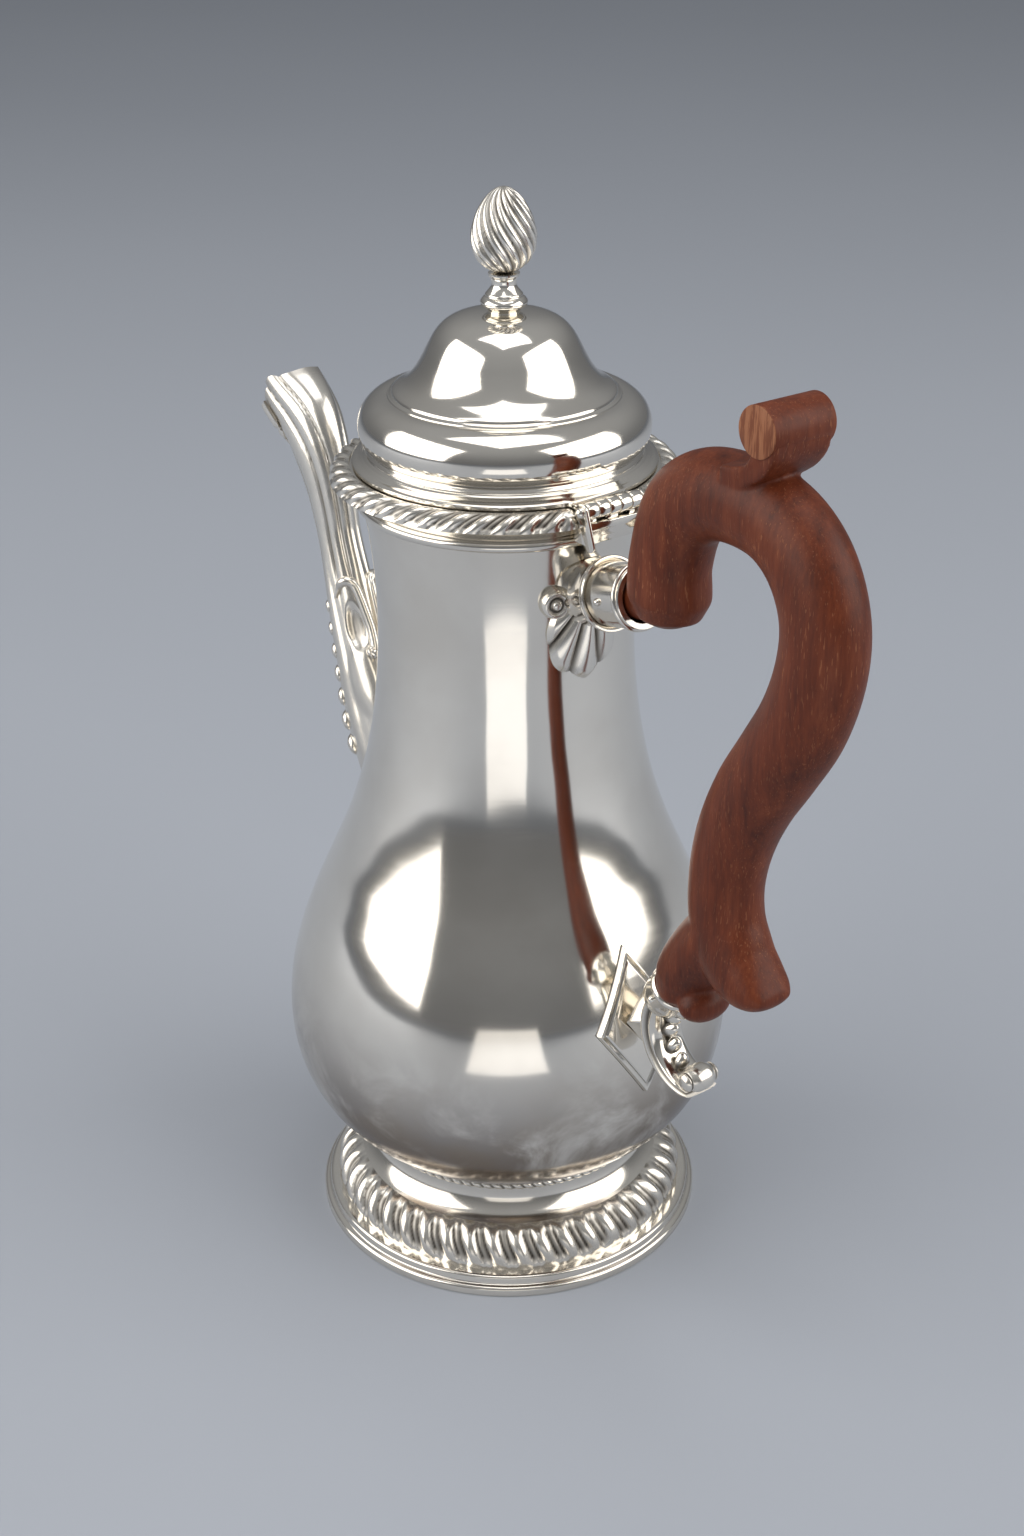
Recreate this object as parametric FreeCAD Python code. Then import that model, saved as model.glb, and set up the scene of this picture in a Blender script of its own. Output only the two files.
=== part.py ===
import FreeCAD, Part
import math
import os

from FreeCAD import Vector

# Silver coffee pot with a hinged lid, a swan-neck spout and a carved wooden handle.
# Millimetres. The origin is the centre of the foot on the table, +Z is up,
# the handle lies along +X and the spout along -X, and the hinge pin along Y.

# Fits and gaps
PIN_FIT = 0.04          # radial gap of a pin in its hole
TENON_FIT = 0.05        # gap of a wooden tenon in its silver socket
LID_GAP = 0.25          # free height between the closed lid and the mouth
KNUCKLE_GAP = 0.12      # side gap between two hinge knuckles
SWING_GAP = 0.4         # room round the turning knuckles
EMBED = 1.5             # how far a soldered form starts inside its neighbour before it is trimmed

# Foot, from the table up
FOOT_R = 55.0
FOOT_RING_H = 5.6
FOOT_STEP_H = 3.0       # lower step of the base ring
FOOT_STEP_IN = 1.8      # from the ring's edge in to its upper step
FOOT_EDGE = 0.6         # bevel of the ring's edges
FOOT_LEDGE = 1.0        # rim of the ring round the foot's flange
FOOT_WALL = 1.3
FOOT_BAND_IN = 3.0      # from the upper step in to the gadroon band
FOOT_BAND_W = 7.0
FOOT_BAND_H = 10.8
FOOT_BAND_THICK = 3.2
FOOT_CROWN_IN = 1.0     # crown of the band, in from its outer edge
FOOT_CROWN_UP = 1.6     # and above the middle of its height
FOOT_GROOVE_R = 1.9
FOOT_GROOVE_DEEP = 1.5
FOOT_SLANT = -2.5       # degrees from the upper end of a lobe to its lower end
SCOTIA_IN = 1.9         # narrowest place of the foot, in from the join
SCOTIA_H = 6.1
JOIN_H = 5.5            # from the narrowest place up to the join with the body
ROPE_R = 1.3            # twisted wire round the join
ROPE_OUT = 0.3
ROPE_DROP = 0.2
ROPE_TURNS = 90
ROPE_GROOVE_R = 0.35
ROPE_GROOVE_OUT = 0.2   # centre of a groove, out from the wire's surface

# Body, outer surface: radii, and heights above the join with the foot
WALL = 0.9
BASE_DROP = 7.5         # underside of the body on the axis, below the join
JOIN_R = 40.3
HIP_R = 56.3
HIP_H = 16.0
BELLY_R = 61.7
BELLY_H = 40.0
SHOULDER_R = 53.9
SHOULDER_H = 72.0
SLOPE_R = 43.6
SLOPE_H = 96.0
NECK_R = 33.8
NECK_H = 148.0
BODY_TOP_R = 36.4
BODY_TOP_H = 187.5

# Mouth
COLLAR_WALL = 1.8       # from the body's top edge in to the bore of the mouth
COLLAR_LAND = 4.8       # flat top of the collar, from its bore out to the border
COLLAR_UNDER = 0.6      # edge of the collar below the border
COVE_OUT = 1.6          # hollow moulding under the collar
COVE_DROP = 1.8
MOUTH_H = 9.5           # mouth above the body's top edge
BORDER_W = 5.1          # gadroon border, from the land out to the rim
BORDER_H = 3.4
BORDER_DEEP = 1.8       # thickness of the border at the rim
BORDER_SET = 0.1        # inner edge of the border, out from the land
BORDER_PROUD = 0.3      # its top above the mouth
BORDER_CROWN_IN = 0.9
BORDER_CROWN_UP = 1.1
SEAT_BULGE = 0.4        # roundness of the collar under the border
GADROON_COUNT = 44
GADROON_GROOVE_R = 1.7
GADROON_GROOVE_DEEP = 1.1
GADROON_SLANT = -7.0    # degrees from the inner end of a lobe to its outer end
NECK_WIRE_R = 1.5
NECK_WIRE_OUT = 0.2

# Lid: radii measured inwards one from the next, heights above the lid's underside
FLANGE_IN = 0.6         # edge of the flange, in from the border
FLANGE_EDGE = 1.2
FLANGE_COVE = 0.6
GROOVE_IN = 4.4         # groove between the flange and the cushion
GROOVE_H = 3.95
CUSHION_OUT = 2.6       # bulge of the cushion over the groove
CUSHION_H = 9.75
LEDGE_IN = 6.2          # ledge round the dome, in from the groove
LEDGE_H = 17.75
LEDGE_STEP = 1.0
DOME_WAIST_IN = 6.6     # waist and turn of the bell, in from the ledge
DOME_WAIST_H = 24.75
DOME_TURN_IN = 11.0
DOME_TURN_H = 32.75
DOME_TOP_H = 37.95
LID_WALL = 1.0
BEZEL_H = 4.5
BEZEL_WALL = 1.0
BEZEL_FIT = 0.7

# Finial
STEM_SEAT = 1.2         # how far the stem's foot reaches down over the dome
STEM_FOOT_R = 4.3
STEM_NECK_R = 4.0
STEM_BULB_R = 5.9
STEM_FLARE_R = 4.4
STEM_WAIST_R = 3.1
STEM_CAP_R = 3.9
STEM_H = 9.4
EGG_R = 8.2
EGG_H = 20.6
EGG_FLUTES = 16
EGG_FLUTE_DEEP = 0.9
EGG_TWIST = -100.0      # degrees from the bottom to the top
EGG_LEVELS = 15
STUD_R = 1.5
STUD_TAIL = 1.5         # free end of the stud below its nut
NUT_R = 3.6
NUT_H = 2.4
WASHER_R = 4.6
WASHER_T = 0.8

# Hinge
HINGE_OUT = 4.0         # from the border's inner edge out to the pin's centre
SLOT_IN = 0.4           # from the border's inner edge out to the hinge's slot
TAB_OUT = 0.8           # from the flange's edge out to the edge of its tab
BARREL_R = 2.2
KNUCKLE_L = 3.3
KNUCKLES = 5
PIN_R = 0.9
PIN_HEAD_R = 1.4
BLOCK_H = 5.8
BLOCK_STEPS = 3
BLOCK_STEP_IN = 0.7
END_PLATE_T = 0.8
END_PLATE_DROP = 7.6
END_PLATE_LEAN = 3.4
END_PLATE_TAIL_R = 1.5

# Upper handle socket and its shell
SOCKET_DROP = 15.0      # from the body's top edge down to the socket's axis
SOCKET_TILT = 15.0
SOCKET_R = 8.0
SOCKET_L = 21.0
SOCKET_WALL = 1.75
SOCKET_RIM = 0.8        # bead round the socket's end
SOCKET_RIM_BACK = 1.8
SOCKET_RING = 1.4       # flared ring, how far it stands out
SOCKET_RING_LIP = 0.5
SOCKET_RING_W = 7.0
SOCKET_RING_AT = 4.0
TENON_L = 12.0
SHELL_T = 2.2
SHELL_UP = 1.5          # top of the shell above the socket's axis
SHELL_DROP = 23.9       # its tip below the axis
SHELL_WIDE_DROP = 10.5  # its widest place below the axis
SHELL_HALF_W = 10.8
SHELL_TIP_ROUND = 4.0
SHELL_RIBS = 7
SHELL_RIB_ANGLE = 11.0
SHELL_GROOVE_R = 1.0
SHELL_GROOVE_DEEP = 0.6
VOLUTE_R = 3.4
VOLUTE_DROP = 1.1

# Lower plate and socket
PLATE_UP = 18.5         # centre of the plate above the widest place of the belly
PLATE_HALF_H = 20.2
PLATE_HALF_W = 13.0
PLATE_T = 1.4
SCROLL_OUT = 20.4       # from the body's surface to the centre of the C-scroll
SCROLL_UP = 6.0         # the same centre above the plate's centre
SCROLL_R = 14.5
SCROLL_INNER_R = 11.6
SCROLL_SHIFT = 3.6      # how far the inner circle lies out from the outer one
SCROLL_OPEN_AT = 12.0   # degrees, the way the C opens
SCROLL_HALF_W = 5.5
SCROLL_SINK = 2.0       # how far boss and cup reach into the C-scroll
BOSS_HALF_H = 13.0      # faceted neck, at the body and at the C-scroll
BOSS_HALF_W = 8.0
BOSS_END_HALF_H = 6.0
BOSS_END_HALF_W = 4.6
CUP_AT = 150.0          # degrees, where the cup leaves the C-scroll
CUP_R = 6.4
CUP_L = 9.0
CUP_WALL = 2.55
CUP_TILT = 52.0
LOW_TENON_L = 7.0
BUD_AT = -64.0          # degrees, where the bud sits on the C-scroll
BUD_R = 3.6
BUD_HALF_W = 5.6
HANDLE_PIN_R = 1.0

# Wooden handle: half depth in the handle's plane and half width across it
HANDLE_DEEP = 10.8
HANDLE_WIDE = 9.0
BULB_OUT = 11.6         # from the socket's end to the middle of the bulb
ARCH_OUT = 35.8         # top of the arch, from the socket's end
ARCH_UP = 34.6
REACH_OUT = 63.1        # furthest point of the back, from the socket's end
REACH_UP = 10.0
WAIST_OUT = 16.8        # inner side of the S, from the cup's mouth
WAIST_UP = 40.2
TAIL_OUT = 36.4         # tip of the tail, from the cup's mouth
TAIL_UP = 14.5
LOBE_OUT = 5.75         # from the cup's mouth to the middle of the lower lobe
LOBE_R = 8.4
CURL_R = 5.2            # small roll under the lobe
CURL_HALF_W = 7.4
ROLL_OUT = 12.1         # thumb scroll, from the top of the arch
ROLL_UP = 20.4
ROLL_R = 5.7
ROLL_HALF_W = 8.4

# Spout
SPOUT_ROOT_UP = 36.0    # root above the widest place of the belly
SPOUT_REACH = 53.6      # lip out from the body's surface at the root
SPOUT_RISE = 114.6      # lip above the root
SPOUT_WALL = 1.4
SPOUT_ROOT_DEEP = 14.8  # half depth in the spout's plane and half width across it
SPOUT_ROOT_WIDE = 9.8
SPOUT_THROAT_DEEP = 7.4
SPOUT_THROAT_WIDE = 5.9
SPOUT_LIP_DEEP = 11.0
SPOUT_LIP_WIDE = 8.0
LEAF_PROUD = 1.3
LEAF_BACK = 1.5         # edge of the lip's leaf, behind the spout's middle line
BEAD_COUNT = 7          # on each side of the front
BEAD_R = 2.3
BEAD_TURN = 44.0        # degrees from the middle of the front round to a row of beads
SIDE_SCROLL_R = 6.5
SIDE_SCROLL_WIRE = 1.7
SIDE_SCROLL_SWEEP = 230.0
SIDE_SCROLL_TURN = 120.0
SPOUT_HOLE_R = 7.0      # opening from the body into the spout

# Heights and radii that follow from the sizes
FOOT_STEP_R = FOOT_R - FOOT_STEP_IN
FOOT_BAND_OUT_R = FOOT_STEP_R - FOOT_BAND_IN
FOOT_BAND_IN_R = FOOT_BAND_OUT_R - FOOT_BAND_W
FOOT_BAND_Z = FOOT_RING_H + FOOT_BAND_H
SCOTIA_R = JOIN_R - SCOTIA_IN
SCOTIA_Z = FOOT_BAND_Z + SCOTIA_H
JOIN_Z = SCOTIA_Z + JOIN_H
BELLY_Z = JOIN_Z + BELLY_H
BODY_TOP_Z = JOIN_Z + BODY_TOP_H
MOUTH_TOP_Z = BODY_TOP_Z + MOUTH_H
COLLAR_BORE_R = BODY_TOP_R - COLLAR_WALL
COLLAR_TOP_R = COLLAR_BORE_R + COLLAR_LAND
RIM_R = COLLAR_TOP_R + BORDER_W
RIM_LIP_Z = MOUTH_TOP_Z - BORDER_H
LID_Z = MOUTH_TOP_Z + LID_GAP
FLANGE_R = COLLAR_TOP_R - FLANGE_IN
GROOVE_R = FLANGE_R - GROOVE_IN
GROOVE_Z = LID_Z + GROOVE_H
LEDGE_R = GROOVE_R - LEDGE_IN
DOME_TOP_Z = LID_Z + DOME_TOP_H
EGG_Z = DOME_TOP_Z + STEM_H
HINGE_X = COLLAR_TOP_R + HINGE_OUT
HINGE_Z = LID_Z + FLANGE_EDGE / 4
BARREL_HALF = KNUCKLE_L * KNUCKLES / 2
TAB_X = FLANGE_R + TAB_OUT
SLOT_X = COLLAR_TOP_R + SLOT_IN
SLOT_HALF = BARREL_HALF + END_PLATE_T + KNUCKLE_GAP
BLOCK_TOP_Z = HINGE_Z - BARREL_R - SWING_GAP
SOCKET_Z = BODY_TOP_Z - SOCKET_DROP
SOCKET_BORE_R = SOCKET_R - SOCKET_WALL
CUP_BORE_R = CUP_R - CUP_WALL
PLATE_Z = BELLY_Z + PLATE_UP
SPOUT_ROOT_Z = BELLY_Z + SPOUT_ROOT_UP

ORIGIN = Vector(0, 0, 0)
UP = Vector(0, 0, 1)
ACROSS = Vector(0, 1, 0)
OUT = Vector(1, 0, 0)
BIG = 400.0             # longer than the pot


def at(x, z, y=0.0):
    return Vector(x, y, z)


def line(start, end):
    return Part.LineSegment(start, end).toShape()


def arc(start, middle, end):
    return Part.Arc(start, middle, end).toShape()


def spline(points, first=None, last=None):
    curve = Part.BSplineCurve()
    if first is None and last is None:
        curve.interpolate(points)
        return curve
    between = len(points) - 2
    tangents = [first or UP] + [UP] * between + [last or UP]
    given = [first is not None] + [False] * between + [last is not None]
    curve.interpolate(Points=points, Tangents=tangents, TangentFlags=given)
    return curve


def turned(edges):
    return Part.Face(Part.Wire(edges)).revolve(ORIGIN, UP, 360)


def polygon(points):
    return [line(a, b) for a, b in zip(points, points[1:] + points[:1])]


def flat_face(points):
    return Part.Face(Part.Wire(polygon(points)))


def plate(edges, half_width):
    face = Part.Face(Part.Wire(edges))
    face.translate(ACROSS * -half_width)
    return face.extrude(ACROSS * (2 * half_width))


def cylinder(radius, start, direction, length):
    return Part.makeCylinder(radius, length, start, direction)


def upright_bore(radius):
    return cylinder(radius, ORIGIN, UP, BIG)


def cross_bar(radius, x, z, half_width):
    return cylinder(radius, at(x, z, -half_width), ACROSS, 2 * half_width)


def box(low, high):
    size = high - low
    return Part.makeBox(size.x, size.y, size.z, low)


def round_copies(shape, count):
    copies = []
    for step in range(count):
        copy = shape.copy()
        copy.rotate(ORIGIN, UP, 360.0 * step / count)
        copies.append(copy)
    return copies


def tilted(angle):
    return Vector(math.cos(math.radians(angle)), 0, math.sin(math.radians(angle)))


def one_solid(shape):
    solids = sorted(shape.Solids, key=lambda solid: solid.Volume)
    return solids[-1]


# Body profile and the places that follow it

BODY_CURVE = spline(
    [at(0, JOIN_Z - BASE_DROP), at(JOIN_R, JOIN_Z), at(HIP_R, JOIN_Z + HIP_H), at(BELLY_R, BELLY_Z),
     at(SHOULDER_R, JOIN_Z + SHOULDER_H), at(SLOPE_R, JOIN_Z + SLOPE_H), at(NECK_R, JOIN_Z + NECK_H),
     at(BODY_TOP_R, BODY_TOP_Z)], OUT)


def grown_curve(distance, samples):
    first, last = BODY_CURVE.FirstParameter, BODY_CURVE.LastParameter
    points = []
    for step in range(samples + 1):
        place = first + (last - first) * step / samples
        along = BODY_CURVE.tangent(place)[0]
        side = Vector(along.z, 0, -along.x)
        points.append(BODY_CURVE.value(place) + side * distance)
    points[0].x = 0.0
    points[-1].z = BODY_TOP_Z
    return spline(points, OUT)


def filled_body(curve):
    low, high = curve.value(curve.FirstParameter), curve.value(curve.LastParameter)
    top = at(0, BODY_TOP_Z)
    return turned([curve.toShape(), line(high, top), line(top, low)])


def grown_body(distance):
    return filled_body(grown_curve(distance, 16))


def body_radius(height):
    low, high = BODY_CURVE.FirstParameter, BODY_CURVE.LastParameter
    for _ in range(60):
        middle = 0.5 * (low + high)
        if BODY_CURVE.value(middle).z < height:
            low = middle
        else:
            high = middle
    return BODY_CURVE.value(low).x


BODY_SOLID = filled_body(BODY_CURVE)
BODY_HOLLOW = grown_body(-WALL)

SOCKET_DIR = tilted(SOCKET_TILT)
SOCKET_ROOT = at(body_radius(SOCKET_Z), SOCKET_Z)
SOCKET_END = SOCKET_ROOT + SOCKET_DIR * SOCKET_L
PLATE_X = body_radius(PLATE_Z)
SCROLL_CENTRE = at(PLATE_X + SCROLL_OUT, PLATE_Z + SCROLL_UP)
CUP_DIR = tilted(CUP_TILT)
CUP_FOOT = SCROLL_CENTRE + tilted(CUP_AT) * (SCROLL_R - SCROLL_SINK)
CUP_END = CUP_FOOT + CUP_DIR * CUP_L
UPPER_PIN = SOCKET_END - SOCKET_DIR * (TENON_L / 2)
LOWER_PIN = CUP_END - CUP_DIR * (LOW_TENON_L / 2)


# Bars with an oval section that follow a bent path: each station is (x, z, half depth, half width)

def path_directions(stations):
    curve = spline([at(x, z) for x, z, _, _ in stations])
    directions = []
    for x, z, _, _ in stations:
        place = curve.parameter(at(x, z))
        directions.append(curve.tangent(place)[0])
    return directions


def ring_of_points(centre, along, half_deep, half_wide):
    side = Vector(along.z, 0, -along.x)
    points = []
    for step in range(12):
        turn = math.radians(30.0 * step)
        points.append(centre + side * (half_deep * math.cos(turn)) + ACROSS * (half_wide * math.sin(turn)))
    curve = Part.BSplineCurve()
    curve.interpolate(points, True)
    return Part.Wire(curve.toShape())


def bent_bar(stations, directions):
    wires = []
    for (x, z, deep, wide), along in zip(stations, directions):
        wires.append(ring_of_points(at(x, z), along, deep, wide))
    return Part.makeLoft(wires, True, False)


# Pot

def make_body_shell():
    start = at(-SPOUT_REACH - BELLY_R, SPOUT_ROOT_Z)
    way_out = cylinder(SPOUT_HOLE_R, start, OUT, -start.x)
    return one_solid(BODY_SOLID.cut(BODY_HOLLOW).cut(way_out))


def collar_solid():
    top = MOUTH_TOP_Z
    under = RIM_LIP_Z - COLLAR_UNDER
    outer = RIM_R - BORDER_DEEP
    foot = at(BODY_TOP_R, BODY_TOP_Z)
    inner_foot = at(COLLAR_BORE_R, BODY_TOP_Z)
    seat_low, seat_high = at(outer, RIM_LIP_Z), at(COLLAR_TOP_R, top)
    seat_middle = (seat_low + seat_high) * 0.5 + at(SEAT_BULGE, SEAT_BULGE)
    return turned([
        line(at(COLLAR_BORE_R, top), inner_foot), line(inner_foot, foot),
        arc(foot, at(BODY_TOP_R + COVE_OUT, under - COVE_DROP), at(outer, under)),
        line(at(outer, under), seat_low), arc(seat_low, seat_middle, seat_high),
        line(seat_high, at(COLLAR_BORE_R, top))])


def hinge_slot():
    return box(Vector(SLOT_X, -SLOT_HALF, BODY_TOP_Z), Vector(BIG, SLOT_HALF, BIG))


def make_mouth_collar():
    return one_solid(collar_solid().cut(hinge_slot()))


def groove_cutters(inner, crown, outer, radius, deep, slant, count):
    chord = outer - inner
    facing = Vector(-chord.z, 0, chord.x)
    facing.normalize()
    if facing.x < 0:
        facing = facing * -1
    rise = (crown - inner).dot(facing) + radius - deep
    start = inner + facing * rise
    end = outer + facing * rise
    start.y = -inner.x * math.tan(math.radians(slant / 2))
    end.y = outer.x * math.tan(math.radians(slant / 2))
    axis = end - start
    bar = cylinder(radius, start - axis * 0.4, axis, axis.Length * 1.8)
    return round_copies(bar, count)


def make_mouth_gadroon():
    top = MOUTH_TOP_Z + BORDER_PROUD
    inner = at(COLLAR_TOP_R + BORDER_SET, top)
    outer = at(RIM_R, RIM_LIP_Z)
    crown = at(RIM_R - BORDER_CROWN_IN, (top + RIM_LIP_Z) / 2 + BORDER_CROWN_UP)
    low = at(inner.x, RIM_LIP_Z)
    ring = turned([arc(outer, crown, inner), line(inner, low), line(low, outer)])
    ring = one_solid(ring.cut(collar_solid()))
    grooves = groove_cutters(
        inner, crown, outer, GADROON_GROOVE_R, GADROON_GROOVE_DEEP, GADROON_SLANT, GADROON_COUNT)
    gap = SLOT_HALF + PIN_HEAD_R
    return one_solid(ring.cut(grooves).cut(box(Vector(0, -gap, 0), Vector(BIG, gap, BIG))))


def make_neck_wire():
    wire = Part.makeTorus(BODY_TOP_R + NECK_WIRE_OUT, NECK_WIRE_R, at(0, BODY_TOP_Z), UP)
    return one_solid(wire.cut(BODY_SOLID).cut(collar_solid()))


def foot_outline(inset):
    flange_z = FOOT_RING_H - inset
    return [
        at(FOOT_STEP_R - FOOT_LEDGE, flange_z),
        at(FOOT_BAND_OUT_R - FOOT_BAND_THICK - inset, flange_z),
        at(FOOT_BAND_IN_R - inset, FOOT_BAND_Z - inset * 0.4),
        at(SCOTIA_R - inset, SCOTIA_Z),
        at(JOIN_R - inset, JOIN_Z + EMBED)]


def make_foot_dome():
    outside = foot_outline(0.0)
    inside = foot_outline(FOOT_WALL)
    solid = turned([
        line(inside[0], outside[0]), line(outside[0], outside[1]), line(outside[1], outside[2]),
        arc(outside[2], outside[3], outside[4]), line(outside[4], inside[4]),
        arc(inside[4], inside[3], inside[2]), line(inside[2], inside[1]), line(inside[1], inside[0])])
    return one_solid(solid.cut(BODY_SOLID))


def filled_foot():
    outside = foot_outline(0.0)
    base, top = at(0, outside[1].z), at(0, outside[4].z)
    return turned([
        line(base, outside[1]), line(outside[1], outside[2]), arc(outside[2], outside[3], outside[4]),
        line(outside[4], top), line(top, base)])


def make_foot_gadroon():
    outside = foot_outline(0.0)
    outer = at(FOOT_BAND_OUT_R, FOOT_RING_H)
    crown = at(FOOT_BAND_OUT_R - FOOT_CROWN_IN, (FOOT_RING_H + FOOT_BAND_Z) / 2 + FOOT_CROWN_UP)
    ring = turned([arc(outer, crown, outside[2]), line(outside[2], outside[1]), line(outside[1], outer)])
    grooves = groove_cutters(
        outside[2], crown, outer, FOOT_GROOVE_R, FOOT_GROOVE_DEEP, FOOT_SLANT, GADROON_COUNT)
    return one_solid(ring.cut(grooves))


def make_foot_base_ring():
    bore = FOOT_BAND_OUT_R - FOOT_BAND_THICK
    flange_z = FOOT_RING_H - FOOT_WALL
    flange_r = FOOT_STEP_R - FOOT_LEDGE
    return turned(polygon([
        at(bore, 0), at(FOOT_R - FOOT_EDGE, 0), at(FOOT_R, FOOT_EDGE), at(FOOT_R, FOOT_STEP_H - FOOT_EDGE),
        at(FOOT_R - FOOT_EDGE, FOOT_STEP_H), at(FOOT_STEP_R, FOOT_STEP_H), at(FOOT_STEP_R, FOOT_RING_H),
        at(flange_r, FOOT_RING_H), at(flange_r, flange_z), at(bore, flange_z)]))


def make_foot_rope_wire():
    centre = at(JOIN_R + ROPE_OUT, JOIN_Z - ROPE_DROP)
    wire = Part.makeTorus(centre.x, ROPE_R, at(0, centre.z), UP)
    lean = Vector(0.2, 1.0, 0.9)
    lean.normalize()
    place = centre + OUT * (ROPE_R + ROPE_GROOVE_OUT)
    groove = cylinder(ROPE_GROOVE_R, place - lean * (1.6 * ROPE_R), lean, 3.2 * ROPE_R)
    wire = wire.cut(BODY_SOLID).cut(filled_foot())
    return one_solid(wire.cut(round_copies(groove, ROPE_TURNS)))


# Lid

def filled_lid(inset):
    base = at(0, GROOVE_Z)
    groove = at(GROOVE_R - inset, GROOVE_Z)
    bulge = at(GROOVE_R + CUSHION_OUT - inset, LID_Z + CUSHION_H)
    ledge = at(LEDGE_R, LID_Z + LEDGE_H - inset)
    step = at(LEDGE_R - inset, LID_Z + LEDGE_H + LEDGE_STEP - inset)
    peak = at(0, DOME_TOP_Z - inset)
    dome = spline([
        step, at(LEDGE_R - DOME_WAIST_IN - inset, LID_Z + DOME_WAIST_H),
        at(LEDGE_R - DOME_TURN_IN - inset, LID_Z + DOME_TURN_H - inset * 0.5), peak],
        Vector(-1, 0, 0.35), Vector(-1, 0, 0)).toShape()
    return turned([
        arc(groove, bulge, ledge), line(ledge, step), dome, line(peak, base), line(base, groove)])


def stud_bore():
    return upright_bore(STUD_R + PIN_FIT)


def make_lid_cover():
    return one_solid(filled_lid(0.0).cut(filled_lid(LID_WALL)).cut(stud_bore()))


def bezel_radius():
    return COLLAR_BORE_R - BEZEL_FIT


def make_lid_flange():
    bore = bezel_radius() - BEZEL_WALL
    edge = at(FLANGE_R, LID_Z + FLANGE_EDGE)
    groove = at(GROOVE_R, GROOVE_Z)
    flare = (edge + groove) * 0.5 - OUT * FLANGE_COVE
    flange = turned([
        line(at(bore, LID_Z), at(FLANGE_R, LID_Z)), line(at(FLANGE_R, LID_Z), edge),
        arc(edge, flare, groove), line(groove, at(bore, GROOVE_Z)),
        line(at(bore, GROOVE_Z), at(bore, LID_Z))])
    tab = box(Vector(bore, -BARREL_HALF, LID_Z), Vector(TAB_X, BARREL_HALF, LID_Z + FLANGE_EDGE))
    tab = tab.cut(upright_bore(bezel_radius()))
    return one_solid(flange.fuse(tab).removeSplitter())


def make_lid_bezel():
    outer = bezel_radius()
    bore = outer - BEZEL_WALL
    low = LID_Z - BEZEL_H
    return turned(polygon([at(bore, low), at(outer, low), at(outer, LID_Z), at(bore, LID_Z)]))


def make_finial_stem():
    low = DOME_TOP_Z - STEM_SEAT
    foot_z = low + STEM_SEAT / 2
    bulb_z = low + 0.36 * STEM_H
    side = spline([
        at(STEM_FOOT_R, foot_z), at(STEM_NECK_R, low + 0.15 * STEM_H), at(STEM_BULB_R, bulb_z),
        at(STEM_FLARE_R, bulb_z + 0.28 * STEM_H), at(STEM_WAIST_R, low + 0.86 * STEM_H),
        at(STEM_CAP_R, EGG_Z)])
    stem = turned([
        side.toShape(), line(at(STEM_CAP_R, EGG_Z), at(0, EGG_Z)), line(at(0, EGG_Z), at(0, low)),
        line(at(0, low), at(STEM_FOOT_R, low)), line(at(STEM_FOOT_R, low), at(STEM_FOOT_R, foot_z))])
    return one_solid(stem.cut(filled_lid(0.0)).cut(stud_bore()))


def make_finial_egg():
    wires = []
    for level in range(EGG_LEVELS):
        share = 0.5 - 0.49 * math.cos(math.pi * level / (EGG_LEVELS - 1))
        radius = EGG_R * math.sqrt(4 * share * (1 - share)) * (1.17 - 0.4 * share)
        deep = EGG_FLUTE_DEEP * radius / EGG_R
        turn = EGG_TWIST * share
        points = []
        for step in range(2 * EGG_FLUTES):
            angle = math.radians(turn + 180.0 * step / EGG_FLUTES)
            reach = radius - deep * (step % 2)
            points.append(Vector(reach * math.cos(angle), reach * math.sin(angle), EGG_Z + EGG_H * share))
        wires.append(Part.makePolygon(points + points[:1]))
    egg = Part.makeLoft(wires, True, False)
    seat = cylinder(STEM_CAP_R * 0.8, at(0, EGG_Z), UP, EGG_H * 0.12)
    bore = cylinder(STUD_R + PIN_FIT, at(0, EGG_Z), UP, EGG_H / 2 + PIN_FIT)
    return one_solid(egg.fuse(seat).cut(bore))


def make_finial_stud():
    low = DOME_TOP_Z - LID_WALL - WASHER_T - NUT_H - STUD_TAIL
    return cylinder(STUD_R, at(0, low), UP, EGG_Z + EGG_H / 2 - low)


def make_finial_washer():
    low = DOME_TOP_Z - LID_WALL - WASHER_T
    washer = cylinder(WASHER_R, at(0, low), UP, 2 * WASHER_T)
    return one_solid(washer.common(filled_lid(LID_WALL)).cut(stud_bore()))


def make_finial_nut():
    low = DOME_TOP_Z - LID_WALL - WASHER_T - NUT_H
    corners = []
    for step in range(6):
        angle = math.radians(60.0 * step)
        corners.append(at(NUT_R * math.cos(angle), low, NUT_R * math.sin(angle)))
    return one_solid(flat_face(corners).extrude(UP * NUT_H).cut(stud_bore()))


# Hinge

def knuckle_span(index):
    low = -BARREL_HALF + KNUCKLE_L * index
    return low + KNUCKLE_GAP / 2, low + KNUCKLE_L - KNUCKLE_GAP / 2


def knuckle(index):
    low, high = knuckle_span(index)
    return cylinder(BARREL_R, at(HINGE_X, HINGE_Z, low), ACROSS, high - low)


def pin_bore():
    return cross_bar(PIN_R + PIN_FIT, HINGE_X, HINGE_Z, BIG)


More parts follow.
